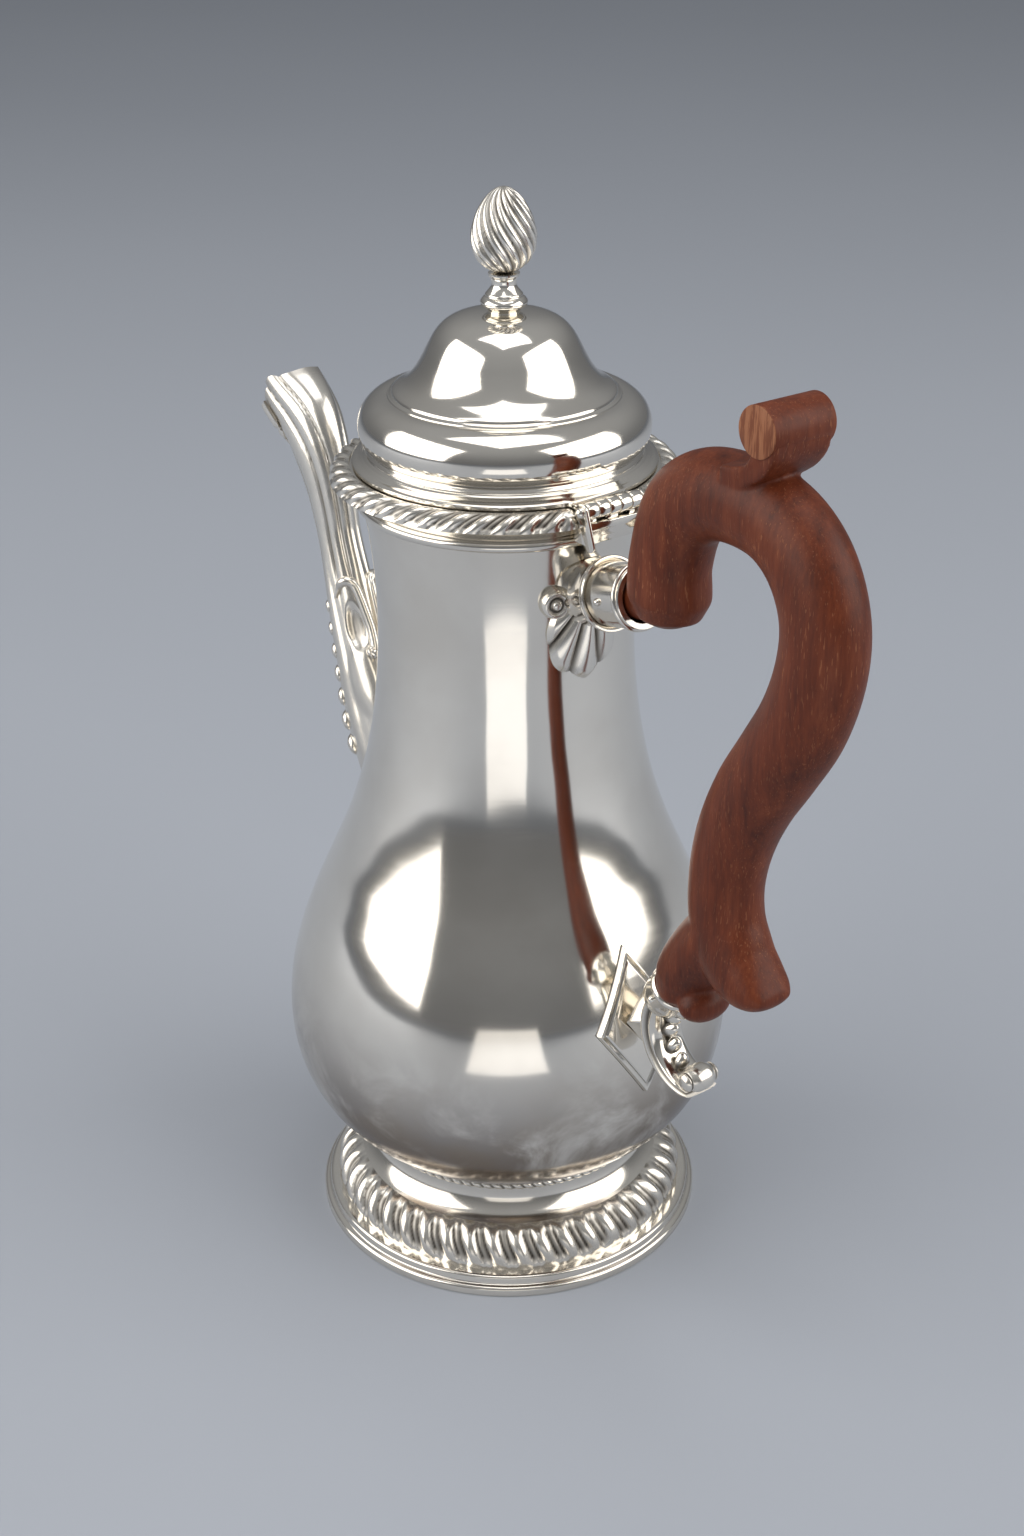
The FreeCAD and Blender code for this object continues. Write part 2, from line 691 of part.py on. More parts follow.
def make_hinge_body_leaf():
    back = HINGE_X + BARREL_R
    low = BLOCK_TOP_Z - BLOCK_H
    leaf = box(Vector(SLOT_X, -BARREL_HALF, low), Vector(back, BARREL_HALF, BLOCK_TOP_Z))
    for step in range(1, BLOCK_STEPS):
        top = BLOCK_TOP_Z - step * BLOCK_H / BLOCK_STEPS
        leaf = leaf.cut(box(Vector(back - step * BLOCK_STEP_IN, -BIG, 0), Vector(BIG, BIG, top)))
    for index in range(0, KNUCKLES, 2):
        span_low, span_high = knuckle_span(index)
        web = box(Vector(HINGE_X - BARREL_R, span_low, BLOCK_TOP_Z - EMBED), Vector(back, span_high, HINGE_Z))
        leaf = leaf.fuse(web).fuse(knuckle(index))
    return one_solid(leaf.removeSplitter().cut(pin_bore()))


def make_hinge_lid_leaf():
    top = LID_Z + FLANGE_EDGE
    near = HINGE_X - BARREL_R - SWING_GAP
    leaf = box(Vector(TAB_X, -BARREL_HALF, LID_Z), Vector(near, BARREL_HALF, top))
    for index in range(1, KNUCKLES, 2):
        low, high = knuckle_span(index)
        finger = box(Vector(TAB_X, low, LID_Z), Vector(HINGE_X, high, top))
        leaf = leaf.fuse(finger).fuse(knuckle(index))
    return one_solid(leaf.removeSplitter().cut(pin_bore()))


def make_hinge_pin():
    reach = BARREL_HALF + END_PLATE_T
    pin = cross_bar(PIN_R, HINGE_X, HINGE_Z, reach)
    for side in (-1, 1):
        head = Part.makeSphere(PIN_HEAD_R, at(HINGE_X, HINGE_Z, side * reach))
        pin = pin.fuse(head.cut(cross_bar(BIG, HINGE_X, HINGE_Z, reach)))
    return one_solid(pin)


def make_hinge_end_plates():
    tail = at(HINGE_X + END_PLATE_LEAN, HINGE_Z - END_PLATE_DROP)
    half = BARREL_R / 2
    solids = []
    for low in (-BARREL_HALF - END_PLATE_T, BARREL_HALF):
        disc = cylinder(BARREL_R, at(HINGE_X, HINGE_Z, low), ACROSS, END_PLATE_T)
        drop = cylinder(END_PLATE_TAIL_R, at(tail.x, tail.z, low), ACROSS, END_PLATE_T)
        strip = flat_face([
            at(HINGE_X - half, HINGE_Z - half, low), at(HINGE_X + BARREL_R, HINGE_Z, low),
            at(tail.x + END_PLATE_TAIL_R, tail.z, low), at(tail.x - END_PLATE_TAIL_R, tail.z, low)])
        whole = disc.fuse(strip.extrude(ACROSS * END_PLATE_T)).fuse(drop).removeSplitter()
        solids.append(one_solid(whole.cut(pin_bore())))
    return Part.makeCompound(solids)


# Upper socket

def upper_socket_envelope(gap):
    start = SOCKET_ROOT - SOCKET_DIR * SOCKET_R
    tube = cylinder(SOCKET_R + gap, start, SOCKET_DIR, SOCKET_L + SOCKET_R + gap)
    rim = Part.makeTorus(SOCKET_R, SOCKET_RIM + gap, SOCKET_END - SOCKET_DIR * SOCKET_RIM_BACK, SOCKET_DIR)
    return tube.fuse(rim)


def pin_hole(centre):
    return cross_bar(HANDLE_PIN_R + PIN_FIT, centre.x, centre.z, BIG)


def make_upper_socket():
    bore = cylinder(SOCKET_BORE_R, SOCKET_END - SOCKET_DIR * (TENON_L + TENON_FIT), SOCKET_DIR, BIG)
    socket = upper_socket_envelope(0.0).cut(BODY_SOLID).cut(bore)
    return one_solid(socket.cut(pin_hole(UPPER_PIN)))


def make_upper_socket_ring():
    place = SOCKET_ROOT + SOCKET_DIR * SOCKET_RING_AT
    wide, narrow = SOCKET_R + SOCKET_RING, SOCKET_R + SOCKET_RING_LIP
    flare = Part.makeCone(narrow, wide, SOCKET_RING_W, place, SOCKET_DIR)
    return one_solid(flare.cut(cylinder(SOCKET_R, SOCKET_ROOT, SOCKET_DIR, BIG)).cut(BODY_SOLID))


def shell_outline():
    tip = SOCKET_Z - SHELL_DROP
    top = SOCKET_Z + SHELL_UP
    side = [
        Vector(0, SHELL_HALF_W * 0.72, tip + SHELL_TIP_ROUND),
        Vector(0, SHELL_HALF_W, SOCKET_Z - SHELL_WIDE_DROP),
        Vector(0, SHELL_HALF_W * 0.6, top)]
    other = [Vector(0, -point.y, point.z) for point in side]
    curve = spline(list(reversed(other)) + [Vector(0, 0, tip)] + side).toShape()
    return Part.Face(Part.Wire([curve, line(side[-1], other[-1])]))


def skin_point(y, z, proud):
    return Vector(math.sqrt((body_radius(z) + proud) ** 2 - y ** 2), y, z)


def make_upper_shell():
    shell = grown_body(SHELL_T).common(shell_outline().extrude(OUT * BIG))
    hub_z = SOCKET_Z + 2 * SHELL_UP
    proud = SHELL_T + SHELL_GROOVE_R - SHELL_GROOVE_DEEP
    for rib in range(SHELL_RIBS - 1):
        lean = math.radians((rib - (SHELL_RIBS - 2) / 2) * SHELL_RIB_ANGLE)
        start, end = [
            skin_point(reach * math.sin(lean), hub_z - reach * math.cos(lean), proud)
            for reach in (SOCKET_R * 0.75, SHELL_DROP)]
        shell = shell.cut(cylinder(SHELL_GROOVE_R, start, end - start, (end - start).Length))
    volute_z = SOCKET_Z - VOLUTE_DROP
    for side in (-1, 1):
        place = skin_point(side * (SHELL_HALF_W - VOLUTE_R * 0.4), volute_z, SHELL_T)
        shell = shell.fuse(cylinder(VOLUTE_R, Vector(0, place.y, place.z), OUT, place.x))
    shell = shell.cut(BODY_SOLID).cut(upper_socket_envelope(0.0))
    return one_solid(shell.cut(make_upper_socket_ring()))


# Lower plate and socket

def lozenge(x, z, half_h, half_w):
    return [at(x, z + half_h), at(x, z, half_w), at(x, z - half_h), at(x, z, -half_w)]


def make_lower_plate():
    prism = flat_face(lozenge(0, PLATE_Z, PLATE_HALF_H, PLATE_HALF_W)).extrude(OUT * BIG)
    return one_solid(grown_body(PLATE_T).common(prism).cut(BODY_SOLID))


def lower_socket_envelope(gap):
    disc = cross_bar(SCROLL_R, SCROLL_CENTRE.x, SCROLL_CENTRE.z, SCROLL_HALF_W)
    hollow = SCROLL_CENTRE + tilted(SCROLL_OPEN_AT) * SCROLL_SHIFT
    crescent = disc.cut(cross_bar(SCROLL_INNER_R, hollow.x, hollow.z, BIG))
    root_x = body_radius(PLATE_Z + BOSS_HALF_H) - EMBED
    end_x = SCROLL_CENTRE.x - SCROLL_R + SCROLL_SINK
    wires = []
    for corners in (lozenge(root_x, PLATE_Z, BOSS_HALF_H, BOSS_HALF_W),
                    lozenge(end_x, SCROLL_CENTRE.z, BOSS_END_HALF_H, BOSS_END_HALF_W)):
        wires.append(Part.Wire(polygon(corners)))
    boss = Part.makeLoft(wires, True, True)
    cup = cylinder(CUP_R + gap, CUP_FOOT, CUP_DIR, CUP_L + gap)
    return crescent.fuse(boss).fuse(cup)


def make_lower_socket():
    bore = cylinder(CUP_BORE_R, CUP_END - CUP_DIR * (LOW_TENON_L + TENON_FIT), CUP_DIR, BIG)
    socket = lower_socket_envelope(0.0).cut(grown_body(PLATE_T)).cut(bore).cut(make_lower_socket_bud())
    return one_solid(socket.cut(pin_hole(LOWER_PIN)).removeSplitter())


def make_lower_socket_bud():
    place = SCROLL_CENTRE + tilted(BUD_AT) * (SCROLL_R - BUD_R * 1.2)
    outline = [place + OUT * (BUD_R * reach) + ACROSS * (BUD_HALF_W * side) for reach, side in (
        (0.0, -1.0), (0.6, -0.92), (1.0, -0.5), (1.0, 0.5), (0.6, 0.92), (0.0, 1.0))]
    return flat_face(outline).revolve(place, ACROSS, 360)


# Handle

ARCH = SOCKET_END + at(ARCH_OUT, ARCH_UP)
WAIST = CUP_END + at(WAIST_OUT, WAIST_UP)


def placed(rows, deep, wide):
    # a row is an anchor, the way from it out and up in half depths, and the shares of depth and width
    stations = []
    for anchor, out, up, deep_share, wide_share in rows:
        stations.append((anchor.x + out * deep, anchor.z + up * deep, deep * deep_share, wide * wide_share))
    return bent_bar(stations, path_directions(stations))


def handle_back():
    bulb = SOCKET_END + OUT * BULB_OUT
    rise = at(bulb.x, ARCH.z)
    reach = SOCKET_END + at(REACH_OUT, REACH_UP)
    corner = at(reach.x, ARCH.z)
    tail = CUP_END + at(TAIL_OUT, TAIL_UP)
    return placed([
        (bulb, -0.01, -0.31, 0.39, 0.38), (bulb, -0.03, -0.11, 0.8, 0.78), (bulb, -0.04, 0.35, 1.03, 1.02),
        (bulb, -0.03, 1.2, 0.99, 1.0), (rise, 0.37, -0.8, 1.0, 1.0),
        ((rise + ARCH) * 0.5, 0.05, -0.19, 0.98, 1.0), (ARCH, 0.0, 0.0, 0.97, 1.0),
        ((ARCH + corner) * 0.5, -0.13, -0.15, 0.98, 1.0), (corner, -0.54, -0.74, 1.0, 1.0),
        (reach, -0.04, 0.55, 1.0, 1.0), (reach, -0.02, -0.55, 1.02, 1.0), (reach, -0.41, -1.85, 1.02, 1.0),
        ((reach + WAIST) * 0.5, 0.17, 0.18, 1.0, 1.0), (WAIST, 0.73, 2.27, 0.98, 0.98),
        (WAIST, 0.23, 1.11, 0.95, 0.96), (WAIST, 0.0, 0.0, 0.93, 0.94), (WAIST, 0.04, -0.97, 0.95, 0.94),
        (WAIST, 0.3, -1.58, 0.98, 0.94), (tail, -1.22, 0.39, 0.96, 0.94), (tail, -0.74, 0.14, 0.8, 0.9),
        (tail, -0.31, 0.03, 0.48, 0.81), (tail, 0.0, 0.0, 0.15, 0.58)], HANDLE_DEEP, HANDLE_WIDE)


def thumb_scroll():
    crest = ARCH + at(ROLL_OUT, ROLL_UP)
    left = crest + tilted(255.0) * ROLL_R
    right = crest + tilted(10.0) * ROLL_R
    toe = ARCH + OUT * (HANDLE_DEEP * 0.1)
    toe_top = toe + UP * (HANDLE_DEEP * 0.9)
    heel = ARCH + at(HANDLE_DEEP * 0.55, HANDLE_DEEP * 0.5)
    front = spline([toe_top, (toe_top + left) * 0.5 + at(ROLL_R * 0.2, -ROLL_R * 0.2), left]).toShape()
    back = spline([
        right, crest + at(ROLL_R * 0.55, -ROLL_R * 1.15), crest + at(-ROLL_R * 0.58, -ROLL_R * 2.1),
        heel]).toShape()
    return plate([
        front, arc(left, crest + UP * ROLL_R, right), back, line(heel, toe), line(toe, toe_top)], ROLL_HALF_W)


def lower_lobe():
    lobe = CUP_END + CUP_DIR * LOBE_OUT
    bar = placed([
        (WAIST, 0.06, -1.67, 0.95, 1.0), ((lobe + WAIST) * 0.5, 0.06, -0.6, 1.0, 1.0),
        (lobe, 0.12, 0.24, 1.0, 1.0), (lobe, 0.06, -0.48, 0.86, 0.9), (lobe, 0.19, -0.98, 0.3, 0.3)],
        LOBE_R, LOBE_R)
    return bar.fuse(cross_bar(CURL_R, lobe.x + LOBE_R * 0.86, lobe.z - LOBE_R * 0.4, CURL_HALF_W))


def make_handle():
    wood = handle_back().fuse(thumb_scroll()).fuse(lower_lobe())
    wood = wood.cut(upper_socket_envelope(TENON_FIT)).cut(lower_socket_envelope(TENON_FIT))
    upper = cylinder(
        SOCKET_BORE_R - TENON_FIT, SOCKET_END - SOCKET_DIR * TENON_L, SOCKET_DIR, TENON_L + BULB_OUT)
    lower = cylinder(CUP_BORE_R - TENON_FIT, CUP_END - CUP_DIR * LOW_TENON_L, CUP_DIR, LOW_TENON_L + LOBE_OUT)
    shoulder = cylinder(SOCKET_R, SOCKET_END + SOCKET_DIR * TENON_FIT, SOCKET_DIR, BULB_OUT)
    wood = one_solid(wood).fuse(shoulder).fuse(upper).fuse(lower)
    return one_solid(wood.cut(pin_hole(UPPER_PIN)).cut(pin_hole(LOWER_PIN)))


def handle_pin(centre, socket_radius):
    pin = cross_bar(HANDLE_PIN_R, centre.x, centre.z, socket_radius)
    for side in (-1, 1):
        pin = pin.fuse(Part.makeSphere(HANDLE_PIN_R, at(centre.x, centre.z, side * socket_radius)))
    return one_solid(pin.removeSplitter())


# Spout

def spout_stations(grow):
    root_x = -body_radius(SPOUT_ROOT_Z)
    deep, wide = SPOUT_ROOT_DEEP, SPOUT_ROOT_WIDE
    mean_deep, mean_wide = (SPOUT_THROAT_DEEP + SPOUT_LIP_DEEP) / 2, (SPOUT_THROAT_WIDE + SPOUT_LIP_WIDE) / 2
    rows = [
        (-0.16, -0.03, deep, wide), (0.0, 0.07, deep, wide), (0.21, 0.22, deep * 0.89, wide * 0.92),
        (0.37, 0.38, deep * 0.69, wide * 0.78), (0.5, 0.54, deep * 0.55, wide * 0.65),
        (0.59, 0.67, SPOUT_THROAT_DEEP, SPOUT_THROAT_WIDE), (0.65, 0.77, mean_deep * 0.9, mean_wide * 0.92),
        (0.74, 0.87, SPOUT_LIP_DEEP * 0.93, SPOUT_LIP_WIDE * 0.94),
        (0.85, 0.945, SPOUT_LIP_DEEP, SPOUT_LIP_WIDE),
        (1.0, 1.0, SPOUT_LIP_DEEP * 0.8, SPOUT_LIP_WIDE * 0.95)]
    stations = []
    for along, up, half_deep, half_wide in rows:
        stations.append((root_x - SPOUT_REACH * along, SPOUT_ROOT_Z + SPOUT_RISE * up,
                         half_deep + grow, half_wide + grow))
    return stations


def spout_solid(grow, longer=0.0):
    stations = spout_stations(grow)
    directions = path_directions(stations)
    if longer:
        x, z, deep, wide = stations[-1]
        end = at(x, z) + directions[-1] * longer
        stations.append((end.x, end.z, deep, wide))
        directions.append(directions[-1])
    return bent_bar(stations, directions)


def make_spout_half(outer, side):
    channel = spout_solid(-SPOUT_WALL, SPOUT_LIP_DEEP)
    room = box(Vector(-BIG, min(0, side * BIG), 0), Vector(BIG, max(0, side * BIG), BIG))
    return one_solid(outer.common(room).cut(channel).cut(BODY_SOLID))


def make_spout_lip_leaf(outer):
    stations = spout_stations(LEAF_PROUD)
    directions = path_directions(stations)
    leaf = bent_bar(stations[-3:], directions[-3:]).cut(outer)
    along = directions[-2]
    ahead = Vector(-along.z, 0, along.x)
    keep = Part.makeBox(2 * BIG, 2 * BIG, BIG, Vector(-BIG, -BIG, 0))
    keep.rotate(ORIGIN, ACROSS, math.degrees(math.atan2(ahead.x, ahead.z)))
    keep.translate(at(stations[-2][0], stations[-2][1]) - ahead * LEAF_BACK)
    return one_solid(leaf.common(keep))


def make_spout_front_beads(outer, scrolls):
    stations = spout_stations(0.0)
    directions = path_directions(stations)
    forward, sideways = math.cos(math.radians(BEAD_TURN)), math.sin(math.radians(BEAD_TURN))
    solids = []
    for side in (-1, 1):
        row = spline([
            at(x, z) - Vector(along.z, 0, -along.x) * (deep * forward) + ACROSS * (side * wide * sideways)
            for (x, z, deep, wide), along in zip(stations, directions)][1:6])
        first, last = row.FirstParameter, row.LastParameter
        for bead in range(BEAD_COUNT):
            share = bead / (BEAD_COUNT - 1)
            place = row.value(first + (last - first) * (0.19 + 0.52 * share))
            ball = Part.makeSphere(BEAD_R * (1.0 - 0.4 * share), place)
            solids.append(one_solid(ball.cut(outer).cut(BODY_SOLID).cut(scrolls)))
    return Part.makeCompound(solids)


def make_spout_side_scroll(outer, side):
    x, z, _, wide = spout_stations(0.0)[3]
    arm = Part.makeTorus(
        SIDE_SCROLL_R, SIDE_SCROLL_WIRE, at(x, z, side * wide * 0.86), ACROSS, 0, 360, SIDE_SCROLL_SWEEP)
    arm.rotate(at(x, z), ACROSS, SIDE_SCROLL_TURN)
    return one_solid(arm.cut(outer))


def main():
    os.makedirs("parts", exist_ok=True)
    spout = spout_solid(0.0)
    left_scroll, right_scroll = make_spout_side_scroll(spout, -1), make_spout_side_scroll(spout, 1)
    pieces = {
        "body_shell": make_body_shell(),
        "mouth_collar": make_mouth_collar(),
        "mouth_gadroon": make_mouth_gadroon(),
        "neck_wire": make_neck_wire(),
        "foot_dome": make_foot_dome(),
        "foot_gadroon": make_foot_gadroon(),
        "foot_base_ring": make_foot_base_ring(),
        "foot_rope_wire": make_foot_rope_wire(),
        "spout_left_half": make_spout_half(spout, -1),
        "spout_right_half": make_spout_half(spout, 1),
        "spout_lip_leaf": make_spout_lip_leaf(spout),
        "spout_front_beads": make_spout_front_beads(spout, [left_scroll, right_scroll]),
        "spout_left_scroll": left_scroll,
        "spout_right_scroll": right_scroll,
        "lid_cover": make_lid_cover(),
        "lid_flange": make_lid_flange(),
        "lid_bezel": make_lid_bezel(),
        "finial_stem": make_finial_stem(),
        "finial_egg": make_finial_egg(),
        "finial_stud": make_finial_stud(),
        "finial_washer": make_finial_washer(),
        "finial_nut": make_finial_nut(),
        "hinge_body_leaf": make_hinge_body_leaf(),
        "hinge_lid_leaf": make_hinge_lid_leaf(),
        "hinge_pin": make_hinge_pin(),
        "hinge_end_plates": make_hinge_end_plates(),
        "upper_shell": make_upper_shell(),
        "upper_socket": make_upper_socket(),
        "upper_socket_ring": make_upper_socket_ring(),
        "lower_plate": make_lower_plate(),
        "lower_socket": make_lower_socket(),
        "lower_socket_bud": make_lower_socket_bud(),
        "handle": make_handle(),
        "upper_handle_pin": handle_pin(UPPER_PIN, SOCKET_R),
        "lower_handle_pin": handle_pin(LOWER_PIN, CUP_R),
    }
    for name, shape in pieces.items():
        shape.exportStep("parts/" + name + ".step")
        size = shape.BoundBox
        print("%-20s solids %d valid %s volume %9.1f  x %.1f..%.1f y %.1f..%.1f z %.1f..%.1f" % (
            name, len(shape.Solids), shape.isValid(), shape.Volume,
            size.XMin, size.XMax, size.YMin, size.YMax, size.ZMin, size.ZMax))


main()
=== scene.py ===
# %% [markdown]
# A silver coffee pot, dressed for the picture. The CAD model gives the places and sizes, and this file
# makes the surfaces that the eye reads: polished silver, cast ornament and carved wood. Its pieces are
# written in millimetres and are turned into metres when they are finished.

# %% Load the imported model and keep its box
import math

import bmesh
import bpy
from mathutils import Matrix, Vector
from mathutils.geometry import interpolate_bezier


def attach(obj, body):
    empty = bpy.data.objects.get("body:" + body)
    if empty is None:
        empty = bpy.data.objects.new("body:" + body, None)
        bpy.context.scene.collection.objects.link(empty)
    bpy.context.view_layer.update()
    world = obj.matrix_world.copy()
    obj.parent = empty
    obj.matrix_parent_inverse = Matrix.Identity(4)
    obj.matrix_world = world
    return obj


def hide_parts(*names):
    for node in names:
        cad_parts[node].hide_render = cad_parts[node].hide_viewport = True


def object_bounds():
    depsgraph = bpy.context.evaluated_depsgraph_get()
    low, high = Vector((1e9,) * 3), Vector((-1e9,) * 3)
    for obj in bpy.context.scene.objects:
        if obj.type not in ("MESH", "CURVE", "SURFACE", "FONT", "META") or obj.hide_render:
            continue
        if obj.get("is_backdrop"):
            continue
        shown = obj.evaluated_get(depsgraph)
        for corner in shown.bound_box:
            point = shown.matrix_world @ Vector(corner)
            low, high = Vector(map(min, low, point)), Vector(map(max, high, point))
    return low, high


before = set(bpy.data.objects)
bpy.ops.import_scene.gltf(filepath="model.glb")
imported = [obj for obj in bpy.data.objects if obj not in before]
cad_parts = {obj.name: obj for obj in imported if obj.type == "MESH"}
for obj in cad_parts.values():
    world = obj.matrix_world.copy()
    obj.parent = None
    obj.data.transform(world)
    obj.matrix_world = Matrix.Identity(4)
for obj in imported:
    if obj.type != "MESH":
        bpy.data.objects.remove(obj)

cad_low, cad_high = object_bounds()
print("CAD box in metres:", [round(v, 4) for v in cad_low], [round(v, 4) for v in cad_high])

# %% [markdown]
# The camera stands where the photographer stood: above the pot, behind its handle and a little to one side.
# A camera in Blender looks along its own -Z, so it is tipped up from straight down, turned to its heading,
# and rolled by a quarter of a degree. The lens is a plain 50 mm.

# %% Camera
camera_data = bpy.data.cameras.new("camera")
camera_data.lens = 50.0
camera_data.sensor_width = 36.0
CAMERA_PLACE = (0.4201, -0.29965, 0.40157)
CAMERA_HEADING, CAMERA_DOWN, CAMERA_ROLL = 54.34, 27.121, -0.242
moved = Matrix.Translation


def turn(degrees, axis):
    return Matrix.Rotation(math.radians(degrees), 4, axis)


def shown(name, data):
    made = bpy.data.objects.new(name, data)
    bpy.context.scene.collection.objects.link(made)
    return made


camera = shown("camera", camera_data)
bpy.context.scene.camera = camera
camera.matrix_world = (moved(CAMERA_PLACE) @ turn(CAMERA_HEADING, "Z")
                       @ turn(90.0 - CAMERA_DOWN, "X") @ turn(CAMERA_ROLL, "Z"))
camera_data.clip_start = 0.01
print("camera at", CAMERA_PLACE)

# %% [markdown]
# Shader maths reads best as plain arithmetic. One small class stands for a socket and knows plus, minus and
# times, so that a mask is written as a formula. One method of the finish makes every new node: it sets
# the node's choices first, then its sockets, and hands back the socket that leaves it.

# %% A finish, and sums of sockets


class Amount:
    def __init__(self, finish, socket):
        self.finish, self.socket = finish, socket

    def maths(self, operation, first, second):
        return self.finish.node("ShaderNodeMath", {"operation": operation}, {0: first, 1: second})

    def __add__(self, other):
        return self.maths("ADD", self, other)

    def __sub__(self, other):
        return self.maths("SUBTRACT", self, other)

    def __mul__(self, other):
        return self.maths("MULTIPLY", self, other)

    __radd__, __rmul__ = __add__, __mul__


class Finish:
    def __init__(self, name, tree=None):
        if tree is None:
            self.material = bpy.data.materials.new(name)
            self.material.use_nodes = True
            tree = self.material.node_tree
            self.shader = tree.nodes["Principled BSDF"]
        self.tree = tree

    def node(self, kind, settings=None, inputs=None, output=0):
        node = self.tree.nodes.new(kind)
        for key, value in (settings or {}).items():
            if key == "stops":
                ramp = node.color_ramp.elements
                while len(ramp) < len(value):
                    ramp.new(0.5)
                for stop, (place, colour) in zip(ramp, value):
                    stop.position, stop.color = place, (*colour, 1.0)
            else:
                setattr(node, key, value)
        for key, value in (inputs or {}).items():
            self.feed(node.inputs[key], value)
        return Amount(self, node.outputs[output])

    def feed(self, socket, value):
        if isinstance(value, Amount):
            self.tree.links.new(value.socket, socket)
        else:
            socket.default_value = value

    def give(self, **inputs):
        for key, value in inputs.items():
            self.feed(self.shader.inputs[key.replace("_", " ")], value)

    def place(self, scale=(1.0, 1.0, 1.0), turned=(0.0, 0.0, 0.0)):
        spot = self.node("ShaderNodeTexCoord", output=3)
        angles = [math.radians(a) for a in turned]
        return self.node("ShaderNodeMapping", {}, {"Vector": spot, "Scale": scale, "Rotation": angles})

    def noise(self, where, scale, detail=3.0, rough=0.55, twist=0.0):
        return self.node("ShaderNodeTexNoise", {}, {
            "Vector": where, "Scale": scale, "Detail": detail, "Roughness": rough, "Distortion": twist})

    def step(self, value, low, high):
        return self.node("ShaderNodeMapRange", {"interpolation_type": "SMOOTHSTEP"},
                         {0: value, 1: low, 2: high})

    def blend(self, share, first, second):
        return self.node("ShaderNodeMix", {"data_type": "RGBA"}, {0: share, 6: first, 7: second}, 2)

    def height(self, where):
        return self.node("ShaderNodeSeparateXYZ", {}, {0: where}, 2)

    def bump(self, amount, strength, distance):
        return self.node("ShaderNodeBump", {}, {"Height": amount, "Strength": strength, "Distance": distance})


# %% [markdown]
# Old silver is never one grey. The plain body has a mirror polish with a very faint wave left by the
# hammer, a haze of fine wiping marks, and a warm tarnish that gathers low on the belly where the cloth
# seldom goes. Most ornaments store how deep a point lies in an attribute named recess, and the finish
# darkens and dulls the deep points: this is partly polish residue in the hollows, partly painted shade.

# %% Silver finishes
SILVER = (0.875, 0.835, 0.765, 1.0)
SILVER_SHADE = (0.715, 0.668, 0.595, 1.0)
STAIN = (0.160, 0.108, 0.068, 1.0)
STAIN_COOL = (0.165, 0.135, 0.125, 1.0)
# near-black brown for polish residue together with painted shade in hollows
RESIDUE_AND_SHADE = (0.045, 0.036, 0.028, 1.0)


def silver(name, polish, wave, stain_low=None):
    finish = Finish(name)
    where = finish.place()
    cloud = finish.step(finish.noise(where, 26.0, 4.0), 0.35, 0.70)
    wiped = finish.noise(finish.place((60.0, 60.0, 900.0), (0.0, 24.0, 15.0)), 1.0, 2.0)
    deep = finish.node("ShaderNodeAttribute", {"attribute_name": "recess"}, {}, 2)
    # the recess value darkens and dulls the colour: polish residue together with painted shade
    dark = finish.step(deep, 0.25, 0.95) * (0.72 + 0.28 * cloud)
    colour = finish.blend(cloud * 0.55, SILVER, SILVER_SHADE)
    dull = polish + 0.035 * wiped + 0.03 * cloud
    if stain_low:
        low, high = stain_low
        blotch = finish.noise(where, 42.0, 5.0, 0.62, 0.6)
        patch = finish.step(finish.height(where), high, low) * finish.step(blotch, 0.22, 0.58)
        hue = finish.step(finish.noise(finish.place(turned=(40.0, 0.0, 70.0)), 30.0, 3.0), 0.42, 0.60)
        colour = finish.blend(patch * 0.92, colour, finish.blend(hue, STAIN, STAIN_COOL))
        dull = dull + 0.10 * patch
    finish.give(Base_Color=finish.blend(dark, colour, RESIDUE_AND_SHADE), Roughness=dull + 0.40 * dark, Metallic=1.0)
    hammered = finish.noise(where, 34.0, 1.0) + 0.004 * wiped
    finish.give(Normal=finish.bump(hammered, 1.0, wave))
    return finish.material


body_silver = silver("polished_body_silver", 0.075, 0.00035, (0.040, 0.090))
fitting_silver = silver("polished_fitting_silver", 0.10, 0.00012)
cast_silver = silver("cast_ornament_silver", 0.20, 0.00008)
print("silver finishes:", body_silver.name, fitting_silver.name, cast_silver.name)

# %% [markdown]
# The handle is a reddish hardwood, oiled and worn to a satin. Along the grain run dark and light bands, and
# the pores are cut open as short pale dashes. The grain runs up the handle, so the pattern is stretched
# along Z; where the carving turns across the grain, the same solid pattern shows end grain. The
# pale cut ends of the thumb scroll are marked by an attribute named worn.

# %% Wood finish
WOOD_DARK = (0.054, 0.010, 0.004)
WOOD_MIDDLE = (0.130, 0.026, 0.008)
WOOD_LIGHT = (0.230, 0.058, 0.020)
PORE = (0.360, 0.140, 0.062, 1.0)
WORN = (0.420, 0.180, 0.085, 1.0)

wood = Finish("oiled_hardwood")
along_grain = wood.place((1.0, 1.0, 0.09), (0.0, -8.0, 0.0))
band = wood.noise(along_grain, 260.0, 4.0, 0.6, 0.4)
fine = wood.noise(along_grain, 1300.0, 3.0, 0.6)
cloudy = wood.noise(wood.place(), 40.0, 3.0)
WOOD_STOPS = [(0.34, WOOD_DARK), (0.52, WOOD_MIDDLE), (0.72, WOOD_LIGHT)]
wood_colour = wood.node("ShaderNodeValToRGB", {"stops": WOOD_STOPS},
                        {0: 0.40 * band + 0.25 * fine + 0.35 * cloudy})
dashes = wood.noise(wood.place((1.0, 1.0, 0.12), (0.0, -8.0, 0.0)), 2700.0, 1.0, 0.5)
pores = wood.step(dashes, 0.64, 0.72)
wood_colour = wood.blend(pores * (0.18 + 0.45 * wood.step(cloudy, 0.42, 0.62)), wood_colour, PORE)
rubbed = wood.node("ShaderNodeAttribute", {"attribute_name": "worn"}, {}, 2)
wood_colour = wood.blend(rubbed * (0.25 + 0.6 * wood.step(fine, 0.42, 0.60)), wood_colour, WORN)
wood.give(Base_Color=wood_colour, Roughness=0.36 + 0.18 * cloudy + 0.12 * pores)
